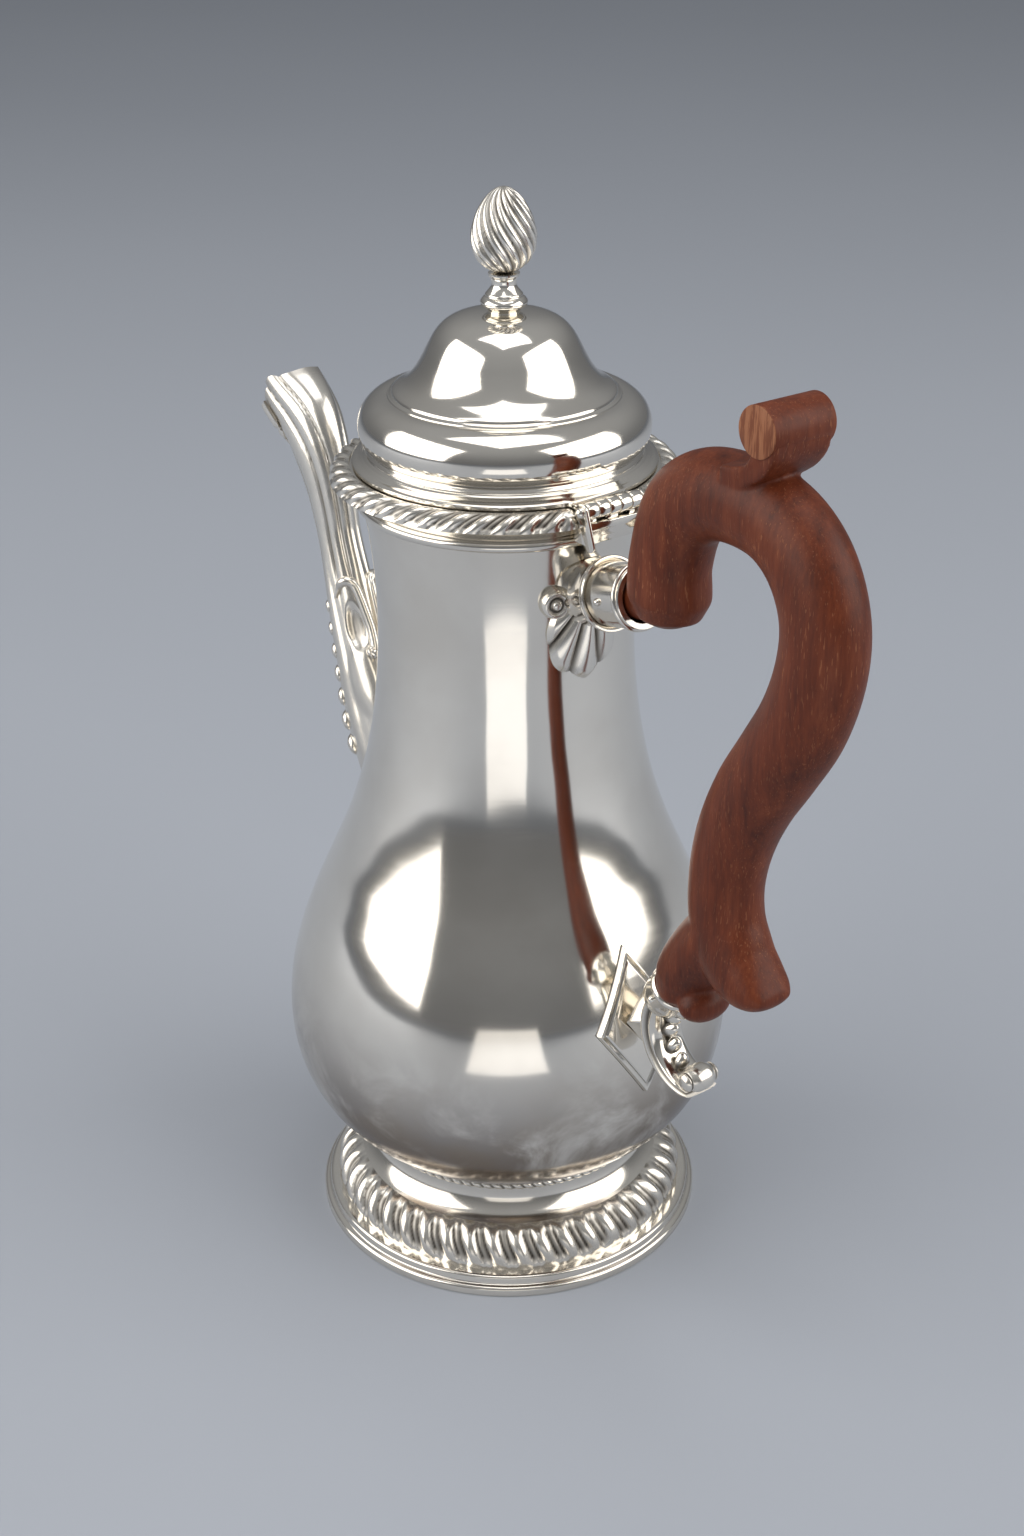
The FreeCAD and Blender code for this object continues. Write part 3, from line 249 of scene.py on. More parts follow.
wood.give(Normal=wood.bump(0.4 * fine - 0.6 * pores, 0.30, 0.0003))
wood.shader.inputs["Specular IOR Level"].default_value = 0.30
oiled_hardwood = wood.material
print("wood finish:", oiled_hardwood.name)

# %% [markdown]
# Most of the pot was raised and turned on a lathe, and Spin is Blender's lathe: it sweeps a profile round
# an axis. A profile is a list of (radius, height). Smooth profiles run through their points as Bezier arcs,
# and a moulding's circular arc is given by three of its points.

# %% Profiles, spinning and finishing
MM = 0.001
BODY_LOOK, FITTING_LOOK = (body_silver, "silver_body"), (fitting_silver, "silver_fittings")
ORNAMENT_LOOK, WOOD_LOOK = (cast_silver, "silver_ornament"), (oiled_hardwood, "hardwood")


def smooth_line(points, steps=6):
    spots = [Vector((p[0], 0.0, p[1])) for p in points]
    found = []
    for i, (a, b) in enumerate(zip(spots, spots[1:])):
        before, after = spots[max(i - 1, 0)], spots[min(i + 2, len(spots) - 1)]
        reach = (b - a).length / 3
        leave, arrive = (b - before).normalized() * reach, (after - a).normalized() * reach
        found += interpolate_bezier(a, a + leave, b - arrive, b, steps + 1)[:-1]
    return [(p.x, p.z) for p in found + spots[-1:]]


def round_arc(first, middle, last, steps=12):
    (x1, z1), (x2, z2), (x3, z3) = first, middle, last
    s1, s2, s3 = x1 * x1 + z1 * z1, x2 * x2 + z2 * z2, x3 * x3 + z3 * z3
    d = 2 * (x1 * (z2 - z3) + x2 * (z3 - z1) + x3 * (z1 - z2))
    cx = (s1 * (z2 - z3) + s2 * (z3 - z1) + s3 * (z1 - z2)) / d
    cz = (s1 * (x3 - x2) + s2 * (x1 - x3) + s3 * (x2 - x1)) / d
    radius = math.hypot(x1 - cx, z1 - cz)
    begin, half, end = (math.atan2(z - cz, x - cx) for x, z in (first, middle, last))
    sweep = (end - begin) % math.tau
    if (half - begin) % math.tau > sweep:
        sweep -= math.tau
    angles = [begin + sweep * i / steps for i in range(steps + 1)]
    return [(cx + radius * math.cos(a), cz + radius * math.sin(a)) for a in angles]


def inset(profile, distance):
    inner = []
    for i, (r, z) in enumerate(profile):
        r0, z0 = profile[max(i - 1, 0)]
        r1, z1 = profile[min(i + 1, len(profile) - 1)]
        length = math.hypot(r1 - r0, z1 - z0)
        inner.append((max(r - distance * (z1 - z0) / length, 0.0), z + distance * (r1 - r0) / length))
    return inner


def spun(profile, steps=160, closed=False, gap=0.0, lathe=None):
    bm = bmesh.new() if lathe is None else lathe
    verts = [bm.verts.new((r, 0.0, z)) for r, z in profile]
    edges = [bm.edges.new(pair) for pair in zip(verts, verts[1:])]
    if closed:
        edges.append(bm.edges.new((verts[-1], verts[0])))
    if gap:
        bmesh.ops.rotate(bm, verts=verts, matrix=turn(gap / 2, "Z"))
    made = bmesh.ops.spin(bm, geom=verts + edges, cent=(0, 0, 0), axis=(0, 0, 1),
                          angle=math.radians(360.0 - gap), steps=steps, use_merge=not gap)
    if gap:
        last = [g for g in made["geom_last"] if isinstance(g, bmesh.types.BMEdge)]
        bmesh.ops.edgeloop_fill(bm, edges=edges)
        bmesh.ops.edgeloop_fill(bm, edges=last)
    bmesh.ops.remove_doubles(bm, verts=bm.verts, dist=1e-4)
    bmesh.ops.recalc_face_normals(bm, faces=bm.faces)
    return bm


def finished(bm, name, body, nodes, look, sharp=38.0):
    finish, slot = look
    bmesh.ops.scale(bm, vec=(MM, MM, MM), verts=bm.verts)
    mesh = bpy.data.meshes.new(name)
    bm.to_mesh(mesh)
    bm.free()
    mesh.shade_smooth()
    mesh.set_sharp_from_angle(angle=math.radians(sharp))
    mesh.materials.append(finish)
    made = shown(name, mesh)
    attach(made, body)
    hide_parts(*nodes)
    print(name, "stands for", ", ".join(nodes), "with", len(mesh.polygons), "faces")
    return made


def face_out(bm):
    bmesh.ops.recalc_face_normals(bm, faces=bm.faces)


def recess_of(bm):
    return bm.verts.layers.float.new("recess")


def laid(bm, place):
    bmesh.ops.transform(bm, verts=bm.verts, matrix=place)
    return bm


def take_in(bm, extra):
    mesh = bpy.data.meshes.new("extra")
    extra.to_mesh(mesh)
    extra.free()
    bm.from_mesh(mesh)
    bpy.data.meshes.remove(mesh)


def thicken(bm, looks_right, thickness):
    face_out(bm)
    if not looks_right(bm.faces):
        bmesh.ops.reverse_faces(bm, faces=bm.faces)
    bmesh.ops.solidify(bm, geom=bm.faces[:], thickness=thickness)


def face_handle(faces):
    return sum((f.normal.x for f in faces), 0.0) >= 0


def rounding(bm, edges, width, segments=2):
    bmesh.ops.bevel(bm, geom=edges, offset=width, offset_type="OFFSET", affect="EDGES",
                    segments=segments, profile=0.5, material=-1, clamp_overlap=True)


def sharp_edges(bm, degrees=40.0):
    least = math.radians(degrees)
    return [e for e in bm.edges if len(e.link_faces) == 2 and e.calc_face_angle(0.0) > least]


# %% [markdown]
# The body is one pear-shaped shell, raised from sheet. Its outer profile is spun together with the inner
# one, a wall's thickness inside, so the pot is hollow when the lid is open. The upper tube, the scallop
# shell and the spout end half a millimetre under its skin: their points that lie deeper are moved straight
# out into the wall.

# %% Body
BODY_SIDE = [
    (0, 20.5), (14.21, 20.82), (25.95, 22.30), (36.20, 25.77), (45.87, 31.96), (54.27, 40.84), (59.62, 51.71),
    (61.65, 63.65), (61.03, 75.70), (58.40, 87.44), (54.38, 98.82), (49.61, 109.86), (44.84, 120.84),
    (40.82, 132.10), (37.77, 143.71), (35.62, 155.57), (34.28, 167.58), (33.70, 179.64), (33.83, 191.67),
    (34.72, 203.64), (36.40, 215.50)]
BODY_WALL = 0.9
body_line = smooth_line(BODY_SIDE, 4)
finished(spun(body_line + inset(body_line, BODY_WALL)[::-1], 224), "pot_body", "pot", ["body_shell"],
         BODY_LOOK)


def body_radius(height):
    for (r0, z0), (r1, z1) in zip(body_line, body_line[1:]):
        if z0 <= height <= z1:
            return r0 + (r1 - r0) * (height - z0) / (z1 - z0)
    return body_line[-1][0]


def on_skin(y, z, proud):
    return Vector((math.sqrt(max((body_radius(z) + proud) ** 2 - y * y, 1.0)), y, z))


ROOT_DEPTH = 0.5


def ended_in_wall(bm):
    for v in bm.verts:
        away, wall = math.hypot(v.co.x, v.co.y), body_radius(v.co.z) - ROOT_DEPTH
        if v.co.z < body_line[-1][1] and away < wall:
            v.co.x, v.co.y = v.co.x * wall / away, v.co.y * wall / away
    return bm


# %% [markdown]
# Above the body comes the mouth: a hollow moulding, a half-round wire over the joint, and the flat land
# that the lid rests on. Below, the spreading foot stands on a stepped ring. All are plain lathe work. The
# ring's outer corners are eased in its profile.

# %% Mouth, neck wire, foot and base ring
MOUTH_COVE = round_arc((36.4, 215.5), (38.0, 219.2), (42.7, 221.0), 10)
MOUTH_SEAT = round_arc((42.7, 221.6), (41.5, 223.7), (39.4, 225.0), 6)
mouth_side = MOUTH_COVE + MOUTH_SEAT + [(35.0, 225.0), (34.6, 224.6), (34.6, 215.5)]
finished(spun(mouth_side, 192, closed=True), "mouth_moulding", "pot", ["mouth_collar"], FITTING_LOOK)


def wire_profile(r, z, thick, points=14):
    angles = [math.tau * i / points for i in range(points)]
    return [(r + thick * math.cos(a), z + thick * math.sin(a)) for a in angles]


finished(spun(wire_profile(36.6, 215.5, 1.5), 192, closed=True), "neck_half_round", "pot", ["neck_wire"],
         FITTING_LOOK)
foot_side = [(52.2, 5.6), (47.2, 5.6), (46.6, 6.4)] + round_arc((43.2, 16.4), (38.4, 22.5), (40.3, 29.5), 18)
foot_inside = [(39.0, 29.5)] + round_arc((39.0, 29.0), (37.1, 22.5), (41.9, 16.2), 12)
foot_inside += [(46.0, 4.4), (52.2, 4.3)]
finished(spun(foot_side + foot_inside, 192, closed=True), "foot_hollow", "pot", ["foot_dome"],
         FITTING_LOOK)
ring_side = [
    (47.0, 0.0), (54.6, 0.0), (55.0, 0.5), (55.0, 2.2), (54.6, 2.8), (54.0, 3.0), (53.4, 3.1),
    (53.2, 3.4), (53.2, 5.0), (52.9, 5.4), (52.2, 5.6), (52.2, 4.3), (47.0, 4.3)]
finished(spun(ring_side, 192, closed=True), "foot_ring", "pot", ["foot_base_ring"], FITTING_LOOK, 50.0)

# %% [markdown]
# Gadroons are rows of slanted lobes with a thin fillet in the hollow between them, cast as a border. The
# plain border is spun with many steps, then every point of its show side is pressed in towards the border's
# core between the lobes, most at their fat lower ends. How far it is pressed is kept as recess, so that the
# hollows are darkened with polish residue and painted shade.

# %% Gadroon borders
LOBES = 44


def lobe_height(share):
    if share < 0.66:
        return math.sin(math.pi * share / 0.66) ** 0.6
    return 0.40 * math.sin(math.pi * (share - 0.66) / 0.34)


def press_gadroons(bm, core, low_angle, high_angle, slant, deep, plain_half=0.0):
    layer = recess_of(bm)
    for v in bm.verts:
        r, around = math.hypot(v.co.x, v.co.y), math.atan2(v.co.y, v.co.x)
        lean = math.degrees(math.atan2(v.co.z - core[1], r - core[0]))
        share = (lean - low_angle) / (high_angle - low_angle)
        if not 0.0 <= share <= 1.0:
            continue
        ends = min(1.0, 6.0 * share, 6.0 * (1.0 - share))
        ends *= min(1.0, max(0.0, (abs(math.degrees(around)) - plain_half) / 2.0))
        lobe = (LOBES * (around + math.radians(slant) * share) / math.tau) % 1.0
        pressed = (1.0 - lobe_height(lobe)) * ends
        # the pressed depth darkens the hollows: polish residue and painted shade
        v[layer] = pressed
        way = Vector((core[0] * math.cos(around), core[0] * math.sin(around), core[1])) - v.co
        v.co += way.normalized() * deep * pressed * (1.2 - 0.6 * share)


MOUTH_GAP = 29.2
border_side = round_arc((44.5, 221.6), (43.6, 224.55), (39.5, 225.3), 16) + [(39.5, 224.3), (42.2, 221.6)]
mouth_border = spun(border_side, 640, closed=True, gap=MOUTH_GAP)
press_gadroons(mouth_border, (41.2, 222.4), -14.0, 120.0, -8.0, 1.2, MOUTH_GAP / 2 + 1.0)
finished(mouth_border, "mouth_border", "pot", ["mouth_gadroon"], ORNAMENT_LOOK, 60.0)
band_side = round_arc((50.2, 5.6), (49.2, 12.6), (43.2, 16.4), 18) + [(46.4, 6.6), (47.2, 5.6)]
foot_border = spun(band_side, 704, closed=True)
press_gadroons(foot_border, (46.0, 9.6), -42.0, 112.0, 4.0, 1.8)
finished(foot_border, "foot_border", "pot", ["foot_gadroon"], ORNAMENT_LOOK, 60.0)

# %% [markdown]
# Two wires twisted together hide the joint of foot and body. A spun wire becomes a rope when its thickness
# swells along a helix: two strands, ninety bumps to the round.

# %% Rope wire
ROPE_R, ROPE_Z, ROPE_THICK, ROPE_BUMPS = 40.6, 27.8, 1.3, 90
rope = spun(wire_profile(ROPE_R, ROPE_Z, ROPE_THICK, 14), 900, closed=True)
rope_recess = recess_of(rope)
for v in rope.verts:
    around, r = math.atan2(v.co.y, v.co.x), math.hypot(v.co.x, v.co.y)
    strand = abs(math.cos(math.atan2(v.co.z - ROPE_Z, r - ROPE_R) + 0.5 * ROPE_BUMPS * around))
    # painted shade and polish residue between the strands
    v[rope_recess] = 1.0 - strand
    heart = Vector((ROPE_R * math.cos(around), ROPE_R * math.sin(around), ROPE_Z))
    v.co = heart + (v.co - heart) * (0.72 + 0.28 * strand)
finished(rope, "foot_rope", "pot", ["foot_rope_wire"], ORNAMENT_LOOK, 70.0)

# %% [markdown]
# The lid is a bell dome over a cushion, on a flared flange. It is spun like the body, wall and all. At the
# hinge the flange grows into a tab with a straight edge, so its rim is drawn out there after spinning.

# %% Lid
cushion = round_arc((34.4, 229.2), (37.0, 235.0), (29.4, 242.55), 20)
ledge = [(29.2, 242.85), (28.8, 242.95), (28.6, 243.2), (28.3, 243.3), (28.2, 243.75)]
dome = smooth_line([
    (28.0, 244.0), (24.92, 245.85), (22.53, 248.53), (20.66, 251.71), (18.99, 255.02), (17.22, 257.97),
    (15.10, 260.19), (12.46, 261.70), (9.16, 262.62), (5.05, 263.07), (0, 263.2)], 4)
lid_line = cushion + ledge + dome
LID_WALL = 1.0
lid_inside = inset(cushion, LID_WALL) + [(28.0, 242.4)] + inset(dome, LID_WALL)
finished(spun(lid_line + lid_inside[::-1] + [(34.4, 229.2)], 192), "lid_bell", "lid", ["lid_cover"],
         BODY_LOOK)
flange_side = [
    (32.9, 225.25), (38.6, 225.25), (38.8, 225.45), (38.8, 226.25), (38.6, 226.5), (37.6, 226.75),
    (36.8, 227.15), (36.2, 227.6), (35.9, 227.75), (35.75, 228.0), (35.5, 228.1), (35.3, 228.35),
    (35.0, 228.4), (34.8, 228.7), (34.4, 229.2), (33.2, 229.2), (32.9, 228.9)]
TAB_X, TAB_HALF, FLANGE_R, TAB_ROOT_R = 39.6, 8.25, 38.8, 35.5
lid_rim = spun(flange_side, 288, closed=True)
for v in lid_rim.verts:
    r = math.hypot(v.co.x, v.co.y)
    if v.co.x > 0 and abs(v.co.y) <= TAB_HALF and r > TAB_ROOT_R:
        reach = (r - TAB_ROOT_R) / (FLANGE_R - TAB_ROOT_R)
        v.co.x += (TAB_X - math.sqrt(FLANGE_R ** 2 - v.co.y ** 2)) * reach
finished(lid_rim, "lid_rim", "lid", ["lid_flange"], FITTING_LOOK)
bezel_side = [(32.9, 221.0), (33.15, 220.75), (33.65, 220.75), (33.9, 221.0), (33.9, 225.25), (32.9, 225.25)]
finished(spun(bezel_side, 160, closed=True), "lid_inner_ring", "lid", ["lid_bezel"], FITTING_LOOK)

# %% [markdown]
# The finial is a turned stem and an egg with sixteen spiral flutes. The egg is spun smooth, then each point
# is pressed in by the flute that winds past it, deepest along the narrow lines between the ribs.

# %% Finial
stem_line = smooth_line([(4.3, 262.6), (4.0, 263.4), (5.3, 264.5), (5.9, 265.5), (5.2, 266.6), (4.6, 267.0),
                         (4.7, 267.4), (4.3, 267.9), (3.2, 269.4), (3.1, 270.3), (3.4, 271.4), (3.9, 272.0),
                         (3.9, 272.6)], 4)
finished(spun([(0.0, 262.0), (4.3, 262.0)] + stem_line + [(0.0, 272.9)], 96), "finial_turned_stem", "lid",
         ["finial_stem"], FITTING_LOOK, 60.0)
EGG_LOW, EGG_TALL, EGG_R, EGG_FLUTES, EGG_DEEP, EGG_TWIST = 272.6, 20.6, 8.2, 16, 1.25, -100.0
egg_line = []
for i in range(57):
    share = 0.5 - 0.5 * math.cos(math.pi * i / 56)
    egg_line.append((EGG_R * math.sqrt(max(4 * share * (1 - share), 0.0)) * (1.17 - 0.4 * share),
                     EGG_LOW + EGG_TALL * share))
egg = spun(egg_line, 320)
egg_recess = recess_of(egg)
for v in egg.verts:
    share = (v.co.z - EGG_LOW) / EGG_TALL
    around = math.atan2(v.co.y, v.co.x) - math.radians(EGG_TWIST) * share
    pressed = 1.0 - abs(math.sin(0.5 * EGG_FLUTES * around)) ** 0.6
    r = math.hypot(v.co.x, v.co.y)
    # painted shade and polish residue in the flutes
    v[egg_recess] = pressed ** 0.6 if r > 0.5 else 0.0
    keep = 1.0 - EGG_DEEP * pressed * min(1.0, r / 5.0) / max(r, 1.0)
    v.co.x, v.co.y = v.co.x * keep, v.co.y * keep
finished(egg, "finial_fluted_egg", "lid", ["finial_egg"], ORNAMENT_LOOK, 75.0)

# %% [markdown]
# The hinge is a five-knuckle barrel across the pot. Its parts are small blocks and rods with eased
# edges. The block under the barrel is an extruded stepped outline, and each end plate is the hull of two
# short rods.

# %% Hinge
HINGE_X, HINGE_Z, BARREL_R, KNUCKLE, BARREL_HALF, KNUCKLE_GAP = 43.4, 225.55, 2.2, 3.3, 8.25, 0.12


def rod(bm, x, z, low, high, radius, segments=40):
    spot = moved((x, (low + high) / 2, z)) @ turn(90.0, "X")
    made = bmesh.ops.create_cone(bm, cap_ends=True, segments=segments, radius1=radius, radius2=radius,
                                 depth=high - low, matrix=spot)["verts"]
    rims = {e for v in made for e in v.link_edges if any(len(f.verts) > 4 for f in e.link_faces)}
    rounding(bm, list(rims), min(0.25, (high - low) / 4))


def bar(bm, low, high, eased=0.2):
    middle = [(a + b) / 2 for a, b in zip(low, high)]
    size = [b - a for a, b in zip(low, high)]
    place = moved(middle) @ Matrix.Diagonal((*size, 1.0))
    made = bmesh.ops.create_cube(bm, size=1.0, matrix=place)
    rounding(bm, list({e for v in made["verts"] for e in v.link_edges}), eased)


def slab(bm, outline, low, high, eased):
    verts = [bm.verts.new((x, low, z)) for x, z in outline]
    face = bm.faces.new(verts)
    made = bmesh.ops.extrude_face_region(bm, geom=[face])["geom"]
    top = [g for g in made if isinstance(g, bmesh.types.BMVert)]
    bmesh.ops.translate(bm, verts=top, vec=(0.0, high - low, 0.0))
    edges = {e for v in verts + top for e in v.link_edges}
    bmesh.ops.recalc_face_normals(bm, faces=list({f for e in edges for f in e.link_faces}))
    rounding(bm, [e for e in edges if e.calc_face_angle(0.0) > math.radians(25.0)], eased)


def knuckles(bm, first):
    for i in range(first, 5, 2):
        low = -BARREL_HALF + KNUCKLE * i + KNUCKLE_GAP / 2
        rod(bm, HINGE_X, HINGE_Z, low, low + KNUCKLE - KNUCKLE_GAP, BARREL_R)
        yield low, low + KNUCKLE - KNUCKLE_GAP


hinge_block = bmesh.new()
block_side = [(39.8, 217.15), (44.2, 217.15), (44.2, 219.08), (44.9, 219.08), (44.9, 221.02), (45.6, 221.02),
              (45.6, 222.95), (39.8, 222.95)]
slab(hinge_block, block_side, -BARREL_HALF, BARREL_HALF, 0.3)
for low, high in knuckles(hinge_block, 0):
    bar(hinge_block, (41.6, low, 221.6), (44.3, high, HINGE_Z - 1.0))
face_out(hinge_block)
finished(hinge_block, "hinge_block", "pot", ["hinge_body_leaf"], FITTING_LOOK)
lid_leaf = bmesh.new()
bar(lid_leaf, (TAB_X - 1.0, -BARREL_HALF, 225.25), (40.8, BARREL_HALF, 226.45))
for low, high in knuckles(lid_leaf, 1):
    bar(lid_leaf, (TAB_X, low, 225.25), (HINGE_X, high, 226.45))
face_out(lid_leaf)
finished(lid_leaf, "lid_leaf", "lid", ["hinge_lid_leaf"], FITTING_LOOK)
PIN_R, PIN_HEAD, PIN_LONG = 0.9, 1.4, 20.9
pin_side = [(0.0, 0.0)]
for a in range(1, 9):
    lean = a * math.pi / 16
    pin_side.append((PIN_HEAD * math.sin(lean), PIN_HEAD - PIN_HEAD * math.cos(lean)))
pin_side += [(PIN_R, PIN_HEAD), (PIN_R, 19.5)] + [(r, PIN_LONG - z) for r, z in pin_side[::-1]]
hinge_pin = laid(spun(pin_side, 32), moved((HINGE_X, PIN_LONG / 2, HINGE_Z)) @ turn(90.0, "X"))
finished(hinge_pin, "hinge_rivet", "pot", ["hinge_pin"], FITTING_LOOK)
DROP_T = 0.8
drops = bmesh.new()
for low in (-BARREL_HALF - DROP_T, BARREL_HALF):
    drop = bmesh.new()
    for x, z, radius in ((HINGE_X, HINGE_Z, BARREL_R), (46.8, 217.95, 1.5)):
        bmesh.ops.create_cone(drop, cap_ends=True, segments=40, radius1=radius, radius2=radius, depth=DROP_T,
                              matrix=moved((x, low + DROP_T / 2, z)) @ turn(90.0, "X"))
    hull = bmesh.ops.convex_hull(drop, input=drop.verts)
    bmesh.ops.delete(drop, geom=[g for g in hull["geom_interior"] if isinstance(g, bmesh.types.BMVert)],
                     context="VERTS")
    bmesh.ops.dissolve_limit(drop, angle_limit=0.02, verts=drop.verts, edges=drop.edges)
    rounding(drop, sharp_edges(drop, 60.0), 0.2)
    take_in(drops, drop)
finished(drops, "hinge_drops", "pot", ["hinge_end_plates"], FITTING_LOOK)

# %% [markdown]
# The upper socket is a short tube that leans up out of the neck. It is spun upright like the other turned
# pieces and then laid over. A trumpet-shaped ring with a line round its rim stands on its root, and its
# mouth has a half-round bead.

# %% Upper socket and ring
SOCKET = moved((34.41, 0.0, 200.5)) @ turn(75.0, "Y")
TUBE_R, TUBE_BORE, TUBE_ROOT, TUBE_FLOOR = 8.0, 6.25, -4.0, 9.0
tube_root = [(0.0, TUBE_ROOT)] + [(TUBE_R, TUBE_ROOT + 0.5 * step) for step in range(16)]
tube_side = [(TUBE_R, 20.2)] + round_arc((TUBE_R, 20.7), (8.6, 21.4), (TUBE_R, 22.1), 8) + [
    (TUBE_R, 22.8), (7.8, 23.0), (6.45, 23.0), (TUBE_BORE, 22.8), (TUBE_BORE, TUBE_FLOOR), (0.0, TUBE_FLOOR)]
finished(ended_in_wall(laid(spun(tube_root + tube_side, 96), SOCKET)), "upper_tube", "pot", ["upper_socket"],
         FITTING_LOOK)
flare_side = [
    (7.9, 3.6), (8.5, 3.6), (8.4, 4.6), (8.35, 5.6), (8.45, 6.6), (8.65, 7.6), (8.95, 8.6), (9.3, 9.4),
    (9.3, 9.7), (9.15, 9.85), (9.4, 10.1), (9.45, 10.5), (9.25, 10.8), (8.8, 10.8), (8.2, 10.3), (7.9, 9.9)]
finished(laid(spun(flare_side, 96, closed=True), SOCKET), "upper_flare", "pot", ["upper_socket_ring"],
         FITTING_LOOK)

# %% [markdown]
# A scallop shell covers the socket's root. A grid of faces is opened out like a fan over the curved neck:
# one way of the grid is the angle, the other runs from the hub to the edge. Seven ribs swell out of it and
# the edge follows the ribs. Solidify then gives the sheet its thickness, into the silver behind it.

# %% Upper shell
SHELL_HUB_Z, SHELL_RIBS, SHELL_SPREAD, SHELL_T = 203.5, 7, 74.0, 0.7
SHELL_EDGE = smooth_line([(0.0, 26.4), (18.8, 23.9), (38.7, 17.2), (58.0, 10.4), (77.0, 6.7)], 8)


def along_line(line, x):
    for (x0, y0), (x1, y1) in zip(line, line[1:]):
        if x0 <= x <= x1:
            return y0 + (y1 - y0) * (x - x0) / (x1 - x0)
    return line[-1][1]


shell = bmesh.new()
shell_recess = recess_of(shell)
bmesh.ops.create_grid(shell, x_segments=112, y_segments=36, size=1.0)
for v in shell.verts:
    fan, out = v.co.x, (v.co.y + 1.0) / 2
    rib = abs(math.cos(0.5 * math.pi * SHELL_RIBS * fan)) ** 0.8
    reach = 2.0 + (along_line(SHELL_EDGE, abs(fan) * SHELL_SPREAD) * (0.95 + 0.06 * rib) - 2.0) * out
    swell = math.sin(math.pi * min(1.0, 0.12 + 0.80 * out)) ** 0.6
    proud = 0.2 + (0.45 + 2.45 * rib) * swell * min(1.0, (1.0 - out) * 12.0 + 0.15)
    lean = math.radians(fan * SHELL_SPREAD)
    # painted shade and polish residue between the ribs
    v[shell_recess] = (1.0 - rib) * min(1.0, 4.0 * out)
    v.co = on_skin(reach * math.sin(lean), SHELL_HUB_Z - reach * math.cos(lean), proud)
thicken(shell, face_handle, SHELL_T)
VOLUTE_Y, VOLUTE_Z = 9.2, 199.4
volute_top = [(0.0, 3.4), (0.9, 3.2), (1.4, 2.4), (1.8, 2.1), (2.7, 2.9), (3.4, 2.5), (3.9, 1.2)]
for side in (-1, 1):
    knob = spun(smooth_line(volute_top, 3) + [(3.9, -1.0), (0.0, -1.0)], 48)
    knob_recess = recess_of(knob)
    for v in knob.verts:
        # painted shade and polish residue in the ring groove of each volute
        v[knob_recess] = max(0.0, 1.0 - abs(math.hypot(v.co.x, v.co.y) - 1.75) / 0.7) if v.co.z > 1.5 else 0.0
    spot = on_skin(side * VOLUTE_Y, VOLUTE_Z, 0.0)
    heading = math.degrees(math.atan2(spot.y, spot.x))
    laid(knob, moved(spot) @ turn(heading, "Z") @ turn(90.0, "Y"))
    take_in(shell, knob)
finished(ended_in_wall(shell), "scallop_shell", "pot", ["upper_shell"], ORNAMENT_LOOK, 60.0)

# %% [markdown]
# A lozenge plate spreads the pull of the lower socket over the belly. A square grid turned on its corner
# makes the lozenge; it is laid on the skin, raised by its thickness, and ends in a narrow raised rim with a
# line inside it.

# %% Lower plate
PLATE_Z, PLATE_HALF_H, PLATE_HALF_W, PLATE_T, LOZENGE_T = 86.5, 20.2, 13.0, 1.4, 0.6
lozenge = bmesh.new()
lozenge_recess = recess_of(lozenge)
bmesh.ops.create_grid(lozenge, x_segments=90, y_segments=90, size=1.0)
for v in lozenge.verts:
    u, w = v.co.x, v.co.y
    edge = 1.0 - max(abs(u), abs(w))
    line, rim = max(0.0, 1.0 - abs(edge - 0.15) / 0.045), max(0.0, 1.0 - abs(edge - 0.06) / 0.05)
    proud = PLATE_T * min(1.0, 0.1 + edge / 0.035) + 0.25 * rim - 0.3 * line
    # painted shade and polish residue in the inner line and along the edge where the plate meets the belly
    v[lozenge_recess] = max(0.85 * line, 0.9 if edge < 0.01 else 0.0)
    v.co = on_skin(PLATE_HALF_W * (u - w) / 2, PLATE_Z + PLATE_HALF_H * (u + w) / 2, proud)
thicken(lozenge, face_handle, LOZENGE_T)
finished(lozenge, "belly_lozenge", "pot", ["lower_plate"], FITTING_LOOK, 30.0)

# %% [markdown]
# Bars that bend, such as the spout, the C-scroll and the handle, are extruded ring by ring. A circle of
# edges is the first ring; each extrusion makes the next, and every point of it is set out from the path by
# its own angle, which the points carry with them in a layer.

# %% Bars along a path


def bent_bar(rings, around, shape, bm=None, closed=True):
    bm = bmesh.new() if bm is None else bm
    angle = bm.verts.layers.float.get("angle") or bm.verts.layers.float.new("angle")
    ring = bmesh.ops.create_circle(bm, segments=around, radius=1.0)["verts"]
    for v in ring:
        v[angle] = math.atan2(v.co.y, v.co.x)
    first = edges = list({e for v in ring for e in v.link_edges})
    for number in range(rings):
        if number:
            made = bmesh.ops.extrude_edge_only(bm, edges=edges)["geom"]
            ring = [g for g in made if isinstance(g, bmesh.types.BMVert)]
            fresh = set(ring)
            edges = [g for g in made if isinstance(g, bmesh.types.BMEdge) and set(g.verts) <= fresh]
        for v in ring:
            v.co = shape(v, number / (rings - 1), v[angle])
    if closed:
        bmesh.ops.edgeloop_fill(bm, edges=first)
        bmesh.ops.edgeloop_fill(bm, edges=edges)
    else:
        bmesh.ops.bridge_loops(bm, edges=first + edges)
    return bm


